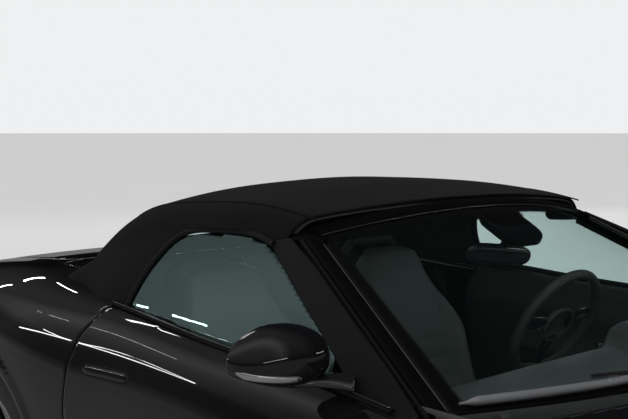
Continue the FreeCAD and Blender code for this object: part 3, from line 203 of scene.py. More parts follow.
def skin_radii():
    """Distance from the spine to the skin for every station and angle: the sections' points are splined along
    the car, joined by shallow parabolas, read in polar form and blurred so that no corner stays sharp."""
    rows = spline(BODY_SECTIONS[:, 0], BODY_SECTIONS[:, 1:], STATIONS)
    x = HALF_WIDTH - rows[:, [0, 2, 4, 6]]
    z = np.stack([SILL + rows[:, 1], WAIST + rows[:, 3], BELT + rows[:, 5], BELT + rows[:, 7]], 1)
    side_x, side_z = section_curves(x, z, BULGES, BELT + rows[:, 8:9])
    curve_x = np.concatenate([np.linspace(0, x[:, 0], 40).T, side_x], 1)
    curve_z = np.concatenate([np.repeat(z[:, :1], 40, 1), side_z], 1) - AXIS_Z
    angle, radius = np.arctan2(curve_z, curve_x), np.hypot(curve_x, curve_z)
    table = np.array([np.interp(ANGLES, a, r) for a, r in zip(angle, radius)])
    return blur_matrix(len(STATIONS), 6) @ table @ blur_matrix(len(ANGLES), 5).T


RADII = skin_radii()


def radius_at(s, angle):
    """Skin's distance from the spine at a station and an angle above the horizontal."""
    return bilinear(RADII, (s - STATIONS[0]) / STATION_STEP, (angle - ANGLES[0]) / ANGLE_STEP)


def plan_distance(x, s, z, end):
    """Distance to the rounded nose or tail: an arc in plan that leans back with height."""
    lean = np.maximum(0.2481 * z * z - 0.2041 * z + 0.04, 0) + 0.003
    lean, depth = (lean, 0.56) if end == "nose" else (0.6 * lean, 0.47)
    depth = depth - lean
    radius = ((HALF_WIDTH + 0.06) ** 2 + depth ** 2) / (2 * depth)
    ahead = s - lean if end == "nose" else LENGTH - lean - s
    return np.where(ahead < radius, np.hypot(x, radius - ahead) - radius, -1)


def skin_distance(p):
    """Field that is zero on the body's skin and below zero inside."""
    x, s, z = p.T
    side = np.hypot(x, z - AXIS_Z) - radius_at(s, np.arctan2(z - AXIS_Z, np.abs(x)))
    ends = np.maximum(plan_distance(x, s, z, "nose"), plan_distance(x, s, z, "tail"))
    return smooth_max(side, ends, 0.12)


def to_skin(origin, way, field=skin_distance):
    """Point where each ray from inside meets the skin, by bisection."""
    low, high = np.full(len(origin), 0.02), np.full(len(origin), 1.8)
    for _ in range(26):
        middle = 0.5 * (low + high)
        inside = field(origin + way * middle[:, None]) < 0
        low, high = np.where(inside, middle, low), np.where(inside, high, middle)
    return origin + way * (0.5 * (low + high))[:, None]


def flare(s, z):
    """How far the wheel arches' lips stand out of the skin."""
    rise = 0
    for axle, radius in ((FRONT_AXLE, FRONT_ARCH_R), (REAR_AXLE, REAR_ARCH_R)):
        away = np.hypot(s - axle, z - WHEEL_Z) - radius
        rise = rise + 0.007 * (1 - step(away, 0.022, 0.040)) * step(z, 0.2, 0.4)
    return rise


def dressed(points):
    """Skin points with the arches' lips raised, straight outwards."""
    points = points.copy()
    lift = flare(points[:, 1], points[:, 2]) * step(np.abs(points[:, 0]), 0.75, 0.85)
    points[:, 0] += np.sign(points[:, 0]) * lift
    return points


def side_rays(s, angle):
    """Skin point at a station, out from the spine at an angle above the horizontal."""
    origin = np.stack([np.zeros_like(s), s, np.full_like(s, AXIS_Z)], 1)
    way = np.stack([np.cos(angle), np.zeros_like(s), np.sin(angle)], 1)
    return dressed(to_skin(origin, way))


def top_rays(x, s):
    """Skin point straight above a plan position."""
    origin = np.stack([x, s, np.full_like(s, 0.45)], 1)
    return to_skin(origin, np.repeat([[0.0, 0.0, 1.0]], len(s), 0))


def fan_rays(turn, rise, centre, forward):
    """Skin point out from a point on the spine, turned in plan from sideways to the nose (-1) or tail (1)."""
    origin = np.stack([np.zeros_like(turn), np.full_like(turn, centre), np.full_like(turn, AXIS_Z)], 1)
    way = np.stack([np.cos(turn) * np.cos(rise), forward * np.sin(turn) * np.cos(rise), np.sin(rise)], 1)
    return dressed(to_skin(origin, way))


def nose_rays(turn, rise):
    """Skin point of the nose, fanned out from a spine point between the front wheels."""
    return fan_rays(turn, rise, 1.1, -1)


def tail_rays(turn, rise):
    """Skin point of the tail, fanned out from a spine point between the rear wheels."""
    return fan_rays(turn, rise, 3.4, 1)


# Outlines of the panels, in side view (s, z) and in plan (x, s)

DOOR_OUTLINE = rounded([
    (1.450, 0.320), (1.495, 0.260), (2.800, 0.260), (2.895, 0.350), (2.945, 0.640), (2.950, 0.780),
    (2.936, 0.870), (2.898, 0.930), (2.890, 1.200), (1.510, 1.200), (1.510, 0.926), (1.470, 0.830),
    (1.450, 0.640),
], 3)
BONNET_HALF = [(0, 0.122), (0.300, 0.150), (0.478, 0.215), (0.600, 0.560), (0.672, 0.950), (0.704, 1.330),
               (0.704, 1.528), (0.640, 1.502), (0.420, 1.443), (0, 1.398)]
LID_HALF = [(0, 3.705), (0.500, 3.705), (0.560, 3.765), (0.540, 4.220), (0.540, 4.570), (0, 4.570)]
COWL_HALF = [(0, 1.406), (0.420, 1.451), (0.640, 1.510), (0.712, 1.536), (0.783, 1.620), (0.783, 1.880),
             (0, 1.880)]
CABIN_HALF = [(0, 1.560), (0.700, 1.590), (0.748, 1.900), (0.748, 2.800), (0.640, 3.450), (0.480, 3.550),
              (0, 3.590)]
DECK_HALF = [(0, 3.390), (0.620, 3.390), (0.620, 3.705), (0, 3.705)]
FRONT_LAMP = [(0.585, 0.330), (0.640, 0.262), (0.780, 0.262), (0.905, 0.340), (0.905, 0.560), (0.880, 0.700),
              (0.850, 0.700), (0.760, 0.520)]
BUMPER_SEAM = [(0.430, 1.300), (0.455, 0.640), (0.492, 0.560), (0.520, 0.430), (0.548, 0.100)]
TAIL_SEAM_S, TAIL_SEAM_Z = 4.05, 0.707
SILL_SEAM_Z = 0.252
LID_FOLD_S = 4.20  # where the lid's top and rear patches meet


def whole(half, rounds=2):
    """Closed plan outline from its left half, corners rounded."""
    half = np.asarray(half, float)
    mirror = half[::-1] * (-1, 1)
    mirror = mirror[np.abs(mirror[:, 0]) > 1e-6]
    return rounded(np.concatenate([half, mirror]), rounds)


BONNET, LID, COWL, CABIN, DECK = (
    whole(half) for half in (BONNET_HALF, LID_HALF, COWL_HALF, CABIN_HALF, DECK_HALF))
LAMP = rounded(FRONT_LAMP, 2)


def in_door(p):
    """Above zero inside the door's outline in side view."""
    return outline_distance(p[:, 1], p[:, 2], DOOR_OUTLINE)


def in_plan(p, outline):
    """Above zero inside an outline in plan, on either side of the car."""
    return outline_distance(np.abs(p[:, 0]), p[:, 1], outline)


def outside_arch(p, axle, radius):
    """Distance outside the wheel arch's opening."""
    return np.hypot(p[:, 1] - axle, p[:, 2] - WHEEL_Z) - radius


def ahead_of_bumper_seam(p):
    """Above zero in the front bumper, which meets the wing at this seam."""
    seam = np.interp(-p[:, 2], [-z for _, z in BUMPER_SEAM], [s for s, _ in BUMPER_SEAM])
    return seam - p[:, 1]


def below_tail_seam(p):
    """Above zero in the rear bumper: behind its seam and below the lid's lower edge."""
    seam = TAIL_SEAM_S + 0.04 * step(p[:, 2], 0.56, 0.70)
    return np.minimum(p[:, 1] - seam, TAIL_SEAM_Z - p[:, 2])


def least(*fields):
    """Smallest of several fields, which is above zero only where all of them are."""
    return np.minimum.reduce(fields)


def in_tail_lamp(p):
    """Above zero in the tail lamp's opening: a low band from the boot lid round the corner."""
    return least(np.abs(p[:, 0]) - 0.5486, p[:, 1] - 4.10, p[:, 2] - (LID_LOW + 0.02),
                 LID_LOW + 0.12 - p[:, 2])


def door_top(p):
    """Above zero outside the glass: the door's skin ends there, under the belt seal."""
    return p[:, 0] - 0.797


def lamp_room(p):
    """Above zero in the headlamp's opening."""
    return np.minimum(in_plan(p, LAMP), p[:, 2] - (WAIST - 0.022))


GRILLE = rounded([(0.034, 0.462), (0.300, 0.478), (0.345, 0.560), (0.318, 0.632), (0.060, 0.636)], 3)
INTAKE = rounded([(0.560, 0.262), (0.480, 0.222), (-0.480, 0.222), (-0.560, 0.262), (-0.500, 0.372),
                  (0.500, 0.372)], 3)
DIFFUSER = rounded([(-0.400, 0.10), (0.400, 0.10), (0.340, 0.270), (-0.340, 0.270)], 2)
TAILPIPE_X = 0.52


def in_grille(p):
    """Above zero in the front bumper's three openings, which are drawn in front view."""
    grille = outline_distance(np.abs(p[:, 0]), p[:, 2], GRILLE)
    return np.maximum(grille, outline_distance(p[:, 0], p[:, 2], INTAKE))


def in_diffuser(p):
    """Above zero in the rear bumper's lower openings: the diffuser and the two bays round the tailpipes."""
    x = np.abs(p[:, 0])
    bay = np.minimum(0.070 - np.abs(x - TAILPIPE_X), SILL + 0.136 - p[:, 2])
    return np.maximum(outline_distance(p[:, 0], p[:, 2], DIFFUSER), bay)


def in_louvres(p):
    """Above zero in the bonnet's six slots, which slant back towards the sides."""
    x = np.abs(p[:, 0])
    slant = p[:, 1] - (FRONT_AXLE + 0.027) - (x - 0.300) * 0.217
    slots = [0.007 - np.abs(slant - 0.036 * i) for i in range(3)]
    return np.minimum(np.maximum.reduce(slots), 0.060 - np.abs(x - 0.360))


# Patches and pieces

def trimmed_patch(surface, a, b, keep):
    """Grid of surface(a, b), cut where keep(points) is below zero.

    On each grid edge that crosses zero the nearer vertex slides on to the cut by Newton steps in (a, b).
    Cells wholly inside stay, and a cell with one corner outside leaves its inner triangle.
    """
    grid_a, grid_b = np.meshgrid(a, b, indexing="ij")
    cell = np.array([a[1] - a[0], b[1] - b[0]])
    field = keep(surface(grid_a.ravel(), grid_b.ravel())).reshape(grid_a.shape)
    snap = np.zeros(field.shape, bool)
    every, first, last = slice(None), slice(None, -1), slice(1, None)
    for here, there in (((first, every), (last, every)), ((every, first), (every, last))):
        cross = field[here] * field[there] < 0
        nearer = np.abs(field[here]) <= np.abs(field[there])
        snap[here] |= cross & nearer
        snap[there] |= cross & ~nearer
    at = np.stack([grid_a[snap], grid_b[snap]], 1)
    start = at.copy()
    for _ in range(5):
        value = keep(surface(*at.T))
        slope = np.stack([(keep(surface(*(at + cell * way * 0.05).T)) - value) / 0.05
                          for way in np.eye(2)], 1)
        move = -value[:, None] * slope / np.maximum((slope ** 2).sum(1, keepdims=True), 1e-12)
        reach = 0.75 * np.abs(cell)
        at = start + np.clip(at + cell * np.clip(move, -0.6, 0.6) - start, -reach, reach)
    grid_a[snap], grid_b[snap], field[snap] = at[:, 0], at[:, 1], 0
    index = np.arange(field.size).reshape(field.shape)
    corners = ((first, first), (last, first), (last, last), (first, last))
    ring = np.stack([index[corner] for corner in corners], -1).reshape(-1, 4)
    inside = field.ravel()[ring]
    full = (inside >= 0).all(1) & (inside > 0).any(1)
    one_out = ((inside < 0).sum(1) == 1) & (inside > 0).any(1)
    faces = [tuple(f) for f in ring[full]]
    corner = np.argmax(inside[one_out] < 0, 1)
    order = (corner[:, None] + np.arange(1, 4)) % 4
    faces += [tuple(f) for f in np.take_along_axis(ring[one_out], order, 1)]
    return tidy_mesh(surface(grid_a.ravel(), grid_b.ravel()), faces)


def tidy_mesh(points, faces):
    """Points that faces use, and the faces renumbered for them."""
    used = np.unique(np.concatenate([np.asarray(f) for f in faces]))
    number = np.full(len(points), -1)
    number[used] = np.arange(len(used))
    return points[used], [tuple(number[list(f)]) for f in faces]


def grid_faces(rows, columns, close_rows=False, close_columns=False):
    """Quads of a grid of points stored row by row, joined end to start where it closes."""
    i, j = pairs(np.arange(rows - (not close_rows)), np.arange(columns - (not close_columns)))
    below, beside = (i + 1) % rows, (j + 1) % columns
    quads = np.stack([i * columns + j, below * columns + j, below * columns + beside,
                      i * columns + beside], 1)
    return [tuple(f) for f in quads]


def tube_faces(rings, count):
    """Quads between closed rings of points, and a face over each end."""
    ends = [tuple(range(count)), tuple(range(count * (rings - 1), count * rings))[::-1]]
    return grid_faces(rings, count, close_columns=True) + ends


def joined(*parts):
    """One mesh from several (points, faces)."""
    points, faces, count = [], [], 0
    for part_points, part_faces in parts:
        points.append(part_points)
        faces += [tuple(i + count for i in f) for f in part_faces]
        count += len(part_points)
    return np.concatenate(points), faces


def on_side(mesh, sign):
    """The mesh as it is for the left (1), or mirrored for the right (-1)."""
    points, faces = mesh
    return mesh if sign > 0 else (points * (-1, 1, 1), [f[::-1] for f in faces])


def outward(mesh, centre=None):
    """The mesh with its faces turned to point away from a centre, or from its middle line."""
    points, faces = mesh
    corners = np.array([f[:3] for f in faces])
    a, b, c = (points[corners[:, k]] for k in range(3))
    normal = np.cross(b - a, c - a)
    middle = (a + b + c) / 3
    spine = np.stack([0 * middle[:, 0], np.clip(middle[:, 1], 0.8, 3.8), 0 * middle[:, 0] + AXIS_Z], 1)
    core = spine if centre is None else np.asarray(centre, float)
    if (normal * (middle - core)).sum() < 0:
        faces = [f[::-1] for f in faces]
    return points, faces


def unit(vectors):
    """Vectors scaled to a length of one."""
    return vectors / np.maximum(np.linalg.norm(vectors, axis=-1, keepdims=True), 1e-12)


def filled_out(mesh):
    """A closed mesh with its faces turned outwards, by the sign of the volume that they enclose."""
    points, faces = mesh
    fans = np.array([(f[0], f[i], f[i + 1]) for f in faces for i in range(1, len(f) - 1)])
    a, b, c = (points[fans[:, k]] - points.mean(0) for k in range(3))
    if (a * np.cross(b, c)).sum() < 0:
        faces = [f[::-1] for f in faces]
    return points, faces


def slab(front, back):
    """Closed plate between two outlines with the same count of points."""
    return filled_out((np.concatenate([front, back]), tube_faces(2, len(front))))


def smooth_path(points, count):
    """Evenly spaced points on a cubic spline through the given ones, measured along their chords."""
    points = np.asarray(points, float)
    along = np.concatenate([[0], np.cumsum(np.linalg.norm(np.diff(points, axis=0), axis=1))])
    return spline(along, points, np.linspace(0, along[-1], count))


def sweep(path, profile, up=(0, 0, 1), scale=None, closed=False):
    """Profile of (side, up) offsets carried along a path: each section stands across the run of the path, its
    second axis as near to up as that allows, and its size follows scale."""
    path, profile = np.asarray(path, float), np.asarray(profile, float)
    run = unit(np.roll(path, -1, 0) - np.roll(path, 1, 0) if closed else np.gradient(path, axis=0))
    side = unit(np.cross(run, np.asarray(up, float)))
    top = np.cross(side, run)
    scale = np.ones((len(path), 1)) if scale is None else np.asarray(scale, float).reshape(len(path), -1)
    offset = profile[None] * scale[:, None]
    points = path[:, None] + side[:, None] * offset[..., :1] + top[:, None] * offset[..., 1:]
    rings, count = len(path), len(profile)
    faces = grid_faces(rings, count, close_rows=closed, close_columns=True)
    if not closed:
        faces += [tuple(range(count))[::-1], tuple(range(count * (rings - 1), count * rings))]
    return filled_out((points.reshape(-1, 3), faces))


def oval(half_width, half_height, power=2.0, count=20):
    """Superellipse section: |x/a|^n + |y/b|^n = 1."""
    turn = np.linspace(0, 2 * np.pi, count, endpoint=False)
    way = np.stack([np.cos(turn), np.sin(turn)], 1)
    return (half_width, half_height) * np.sign(way) * np.abs(way) ** (2 / power)


def add_piece(name, mesh, finish, body, slot, replaces=(), uv=None, wall=0.0, edge=0.0, smooth=True):
    """Mesh object in the frame, on its body, standing for the nodes that it replaces. Wall thickens it
    inwards and edge bevels its corners."""
    points, faces = mesh
    data = bpy.data.meshes.new(name)
    data.from_pydata((points - (0, LENGTH / 2, 0)).tolist(), [], [tuple(map(int, f)) for f in faces])
    data.update()
    if uv is not None:
        layer = data.uv_layers.new(name="UVMap")
        loops = np.empty(len(data.loops), int)
        data.loops.foreach_get("vertex_index", loops)
        layer.data.foreach_set("uv", uv[loops].ravel())
    data.shade_smooth() if smooth else data.shade_flat()
    data.materials.append(FINISH[finish])
    piece = bpy.data.objects.new(name, data)
    bpy.context.scene.collection.objects.link(piece)
    if wall:
        solid = piece.modifiers.new("wall", "SOLIDIFY")
        solid.thickness, solid.offset = wall, -1
    if edge:
        bevel = piece.modifiers.new("edge", "BEVEL")
        bevel.width, bevel.segments, bevel.limit_method, bevel.angle_limit = edge, 2, "ANGLE", 0.9
    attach(piece, body)
    if replaces:
        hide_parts(*replaces)
    return piece


# Materials

class Value:
    """A number socket that adds Math nodes when it is used in an expression."""

    def __init__(self, maker, socket):
        self.maker, self.socket = maker, socket

    def _math(self, operation, first, second):
        values = {i: v.socket if isinstance(v, Value) else v for i, v in enumerate((first, second))}
        node = self.maker.node("ShaderNodeMath", {"operation": operation}, values)
        return Value(self.maker, node.outputs[0])

    def __add__(self, other):
        return self._math("ADD", self, other)

    def __sub__(self, other):
        return self._math("SUBTRACT", self, other)

    def __rsub__(self, other):
        return self._math("SUBTRACT", other, self)

    def __mul__(self, other):
        return self._math("MULTIPLY", self, other)

    def clipped(self):
        """The value held between 0 and 1."""
        return self._math("MINIMUM", self._math("MAXIMUM", self, 0.0), 1.0)

    def either(self, other):
        """The larger of two values."""
        return self._math("MAXIMUM", self, other)

    __radd__, __rmul__ = __add__, __mul__


class Nodes:
    """A node tree that is built up by short calls."""

    def __init__(self, owner):
        owner.use_nodes = True
        self.tree = owner.node_tree

    def node(self, kind, settings=None, inputs=None):
        """A node of that type, its settings set first, then the values or links of its sockets."""
        node = self.tree.nodes.new(kind)
        for key, value in (settings or {}).items():
            if key == "stops":
                for i, (position, colour) in enumerate(value):
                    stop = node.color_ramp.elements[i] if i < 2 else node.color_ramp.elements.new(position)
                    stop.position, stop.color = position, (*colour, 1)
            else:
                setattr(node, key, value)
        for key, value in (inputs or {}).items():
            if isinstance(value, Value):
                value = value.socket
            if isinstance(value, bpy.types.NodeSocket):
                self.tree.links.new(value, node.inputs[key])
            else:
                node.inputs[key].default_value = value
        return node

    def colours(self, factor, low, high, **settings):
        """Mix of two colour sockets or values with alpha."""
        return self.node("ShaderNodeMix", {"data_type": "RGBA", **settings},
                         {0: factor, 6: low, 7: high}).outputs[2]

    def shaders(self, factor, low, high):
        """Mix of two shader nodes by a value."""
        return self.node("ShaderNodeMixShader", inputs={0: factor, 1: low.outputs[0], 2: high.outputs[0]})


class Finish(Nodes):
    """A material with one Principled shader."""

    def __init__(self, name, **constants):
        self.material = bpy.data.materials.new(name)
        super().__init__(self.material)
        self.shader = self.tree.nodes["Principled BSDF"]
        self.output = self.tree.nodes["Material Output"]
        for socket, value in constants.items():
            self.shader.inputs[socket.replace("_", " ").title().replace("Ior", "IOR")].default_value = value

    def place(self, kind="Object"):
        """Coordinates of that kind."""
        return self.node("ShaderNodeTexCoord").outputs[kind]

    def noise(self, size, detail=3):
        """Noise value whose patches are about that many metres across."""
        return Value(self, self.node("ShaderNodeTexNoise", inputs={
            "Vector": self.place(), "Scale": 1 / size, "Detail": detail}).outputs[0])

    def blend(self, factor, low, high):
        """Colour between two colours by a value."""
        return self.colours(factor, (*low, 1), (*high, 1))

    def set(self, **links):
        """Feed sockets of the shader, which are named in small letters."""
        for socket, value in links.items():
            target = self.shader.inputs[socket.replace("_", " ").title()]
            self.tree.links.new(value.socket if isinstance(value, Value) else value, target)
        return self

    def bump(self, height, depth, strength=1.0):
        """Bump of that depth in metres from a height value."""
        node = self.node("ShaderNodeBump", inputs={"Height": height, "Distance": depth, "Strength": strength})
        self.tree.links.new(node.outputs[0], self.shader.inputs["Normal"])
        return self


def paint_finish(name, colour):
    """Black gloss lacquer: dark base under a clear coat, a little paler where dust lies."""
    finish = Finish(name, roughness=0.5, coat_weight=1.0, coat_roughness=0.015, specular_ior_level=0.0)
    dust = finish.noise(0.35, 4)
    finish.set(base_color=finish.blend(dust, colour, [c * 1.25 + 0.001 for c in colour]))
    return finish.material


def plain_finish(name, colour, roughness, grain=0.0, size=0.004, spread=0.15, coat=0.0, **constants):
    """Moulded or cast finish: slightly uneven colour and sheen, with a fine grain if it has one."""
    finish = Finish(name, coat_weight=coat, coat_roughness=0.05, **constants)
    patch = finish.noise(0.12, 4)
    low, high = ([min(1, c * (1 + way)) for c in colour] for way in (-spread, spread))
    finish.set(base_color=finish.blend(patch, low, high), roughness=patch * 0.12 + (roughness - 0.06))
    if grain:
        finish.bump(finish.noise(size, 2), grain)
    return finish.material


def fabric_finish(name, colour):
    """Roof cloth: fine twill woven on the cloth's own coordinates, with soft uneven fading."""
    finish = Finish(name, sheen_weight=0.02, sheen_roughness=0.5, specular_ior_level=0.0)
    place = finish.place("UV")
    weave = [Value(finish, finish.node("ShaderNodeTexWave", {"bands_direction": way}, {
        "Vector": place, "Scale": 160.0, "Distortion": 0.6, "Detail": 1.0}).outputs[1])
        for way in ("X", "Y", "DIAGONAL")]
    thread = weave[0] * weave[1] * 0.6 + weave[2] * 0.4
    fade = finish.noise(0.18, 4)
    tone = (thread * 0.5 + fade * 0.5).clipped()
    finish.set(base_color=finish.blend(tone, tuple(c * 0.7 for c in colour), tuple(c * 1.35 for c in colour)),
               roughness=fade * 0.1 + 0.86)
    finish.bump(thread, 0.0004, 0.6)
    return finish.material


def glass_finish(name, tint, band=False):
    """Thin tinted pane: clear with half of the glass's tint at each face, mixed with a mirror image by
    Fresnel. The printed border of a screen comes from the pane's border attribute."""
    finish = Finish(name, roughness=0.0, metallic=1.0)
    finish.shader.inputs["Base Color"].default_value = (0.66, 0.98, 0.95, 1)
    clear = finish.node("ShaderNodeBsdfTransparent",
                        inputs={"Color": (*(channel ** 0.5 for channel in tint), 1)})
    gloss = Value(finish, finish.node("ShaderNodeFresnel", inputs={"IOR": 2.1}).outputs[0])
    leaving = Value(finish, finish.node("ShaderNodeNewGeometry").outputs["Backfacing"])
    pane = finish.shaders(gloss * (1 - leaving), clear, finish.shader)
    if band:
        border = finish.node("ShaderNodeAttribute", {"attribute_name": "border"}).outputs["Fac"]
        ink = finish.node("ShaderNodeBsdfPrincipled", inputs={
            "Base Color": (0.003, 0.003, 0.003, 1), "Roughness": 0.05, "Specular IOR Level": 0.15})
        pane = finish.shaders(border, pane, ink)
    finish.tree.links.new(pane.outputs[0], finish.output.inputs[0])
    return finish.material


def tyre_finish(name):
    """Moulded rubber, browner and duller where it is dusty."""
    finish = Finish(name, specular_ior_level=0.35)
    dust = finish.noise(0.05, 5)
    finish.set(base_color=finish.blend(dust, (0.012, 0.012, 0.012), (0.032, 0.030, 0.028)),
               roughness=dust * 0.2 + 0.62)
    finish.bump(finish.noise(0.0012, 2), 0.0002)
    return finish.material


def make_finishes(paint):
    """Every finish of the car by its slot or use."""
    return {
        "body_paint": paint_finish("gloss_black_paint", paint.paint_colour),
        "roof_fabric": fabric_finish("roof_cloth", paint.roof_colour),
        "window_glass": glass_finish("green_tinted_glass", paint.glass_tint),
        "screen_glass": glass_finish("windscreen_glass", [0.5 * t + 0.5 for t in paint.glass_tint],
                                     band=True),
        "lamp_glass": glass_finish("lamp_glass", (0.93, 0.95, 0.96)),
        "red_lamp": plain_finish("red_light_guide", (0.62, 0.03, 0.03), 0.18, coat=1.0),
        "red_glass": glass_finish("red_lens", (0.80, 0.05, 0.05)),
        "gloss_trim": plain_finish("gloss_black_trim", (0.008, 0.008, 0.009), 0.14, coat=1.0),
        "dark_trim": plain_finish("grained_black_trim", (0.022, 0.022, 0.023), 0.55, 0.0003, 0.003),
        "inner_metal": plain_finish("underbody_coat", (0.03, 0.03, 0.032), 0.6, 0.0004, 0.006),
        "cast_metal": plain_finish("cast_iron", (0.16, 0.16, 0.165), 0.55, 0.0005, 0.003, metallic=0.7),
        "exhaust_steel": plain_finish("exhaust_steel", (0.45, 0.44, 0.42), 0.32, 0.0001, 0.004, metallic=1.0),
        "seat_leather": plain_finish("seat_hide", (0.12, 0.12, 0.12), 0.42, 0.0002, 0.002),
        "alloy": plain_finish("wheel_alloy", (0.42, 0.42, 0.44), 0.26, metallic=1.0, coat=0.4),
        "tyre": tyre_finish("tyre_rubber"),
        "cabin_trim": plain_finish("cabin_trim", (0.045, 0.045, 0.046), 0.5, 0.0003, 0.002),
        "belt_webbing": plain_finish("belt_webbing", (0.018, 0.018, 0.019), 0.75, 0.0003, 0.0015),
        "disc": plain_finish("brake_disc", (0.35, 0.35, 0.35), 0.30, metallic=1.0, spread=0.08),
        "plate": plain_finish("plate_plinth", (0.016, 0.016, 0.017), 0.45, 0.0002, 0.002),
        "lamp_eye": plain_finish("lamp_eye", (0.30, 0.33, 0.36), 0.06, coat=1.0),
        "light_guide": plain_finish("light_guide", (0.75, 0.78, 0.80), 0.25, coat=0.5),
        "lining": plain_finish("roof_lining_cloth", (0.02, 0.02, 0.021), 0.95, 0.0003, 0.002),
        "pillar": plain_finish("pillar_trim", (0.0022, 0.0022, 0.0024), 0.30, specular_ior_level=0.05),
        "mirror": plain_finish("mirror_glass", (0.75, 0.77, 0.78), 0.08, metallic=1.0, spread=0.02),
        "rubber": plain_finish("seal_rubber", (0.006, 0.006, 0.006), 0.6, 0.0002, 0.002,
                               specular_ior_level=0.15),
        # Wiper blade: the grey base colour is painted reflection, standing in for silver highlights that the
        # dark room does not give; its metallic share and coat reflect for real
        "wiper_painted_reflection": plain_finish("wiper_painted_reflection", (0.17, 0.175, 0.185), 0.26, metallic=0.25, coat=0.6),
        "dark_chrome": plain_finish("dark_bright_trim", (0.16, 0.165, 0.17), 0.16, metallic=1.0, spread=0.03),
        "chrome": plain_finish("bright_trim", (0.62, 0.63, 0.64), 0.10, metallic=1.0, spread=0.03),
    }


FINISH = {}


# Pieces

class ConvertibleLooks(bpy.types.PropertyGroup):
    """Colours and sizes that a user would change"""

    paint_colour: FloatVectorProperty(
        name="Paint", description="Colour under the clear coat", subtype="COLOR", size=3, min=0, max=1,
        default=(0.0035, 0.0035, 0.0042))
    roof_colour: FloatVectorProperty(
        name="Roof", description="Colour of the roof cloth", subtype="COLOR", size=3, min=0, max=1,
        default=(0.0078, 0.0070, 0.0068))
    glass_tint: FloatVectorProperty(
        name="Glass tint", description="What the side glass lets through", subtype="COLOR", size=3,
        min=0, max=1, default=(0.78, 0.95, 0.92))
    panel_wall: FloatProperty(
        name="Panel wall", description="Thickness of the painted panels, measured inwards", unit="LENGTH",
        min=0.001, max=0.03, default=0.02)
    cloth_wall: FloatProperty(
        name="Cloth wall", description="Thickness of the roof cloth", unit="LENGTH", min=0.001, max=0.008,
        default=0.005)
    pane_wall: FloatProperty(
        name="Side glass", description="Thickness of the door windows", unit="LENGTH", min=0.002, max=0.006,
        default=0.004)
    spokes: IntProperty(name="Spokes", description="Count of spokes in each wheel", min=5, max=20, default=10)
    lens: FloatProperty(
        name="Lens", description="Camera focal length for a 36 mm wide picture", subtype="DISTANCE_CAMERA",
        default=54.63)


class CAR_OT_frame_finishes(bpy.types.Operator):
    """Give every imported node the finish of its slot"""

    bl_idname = "car.frame_finishes"
    bl_label = "Finishes"

    def execute(self, context):
        FINISH.update(make_finishes(context.scene.convertible_looks))
        for part in frame["record"]["subparts"]:
            node = frame["nodes"][part["node"]]
            node.data.materials.clear()
            node.data.materials.append(FINISH[part["material_slot"]])
        return {"FINISHED"}


PITCH = 0.014  # spacing of the panels' grid lines


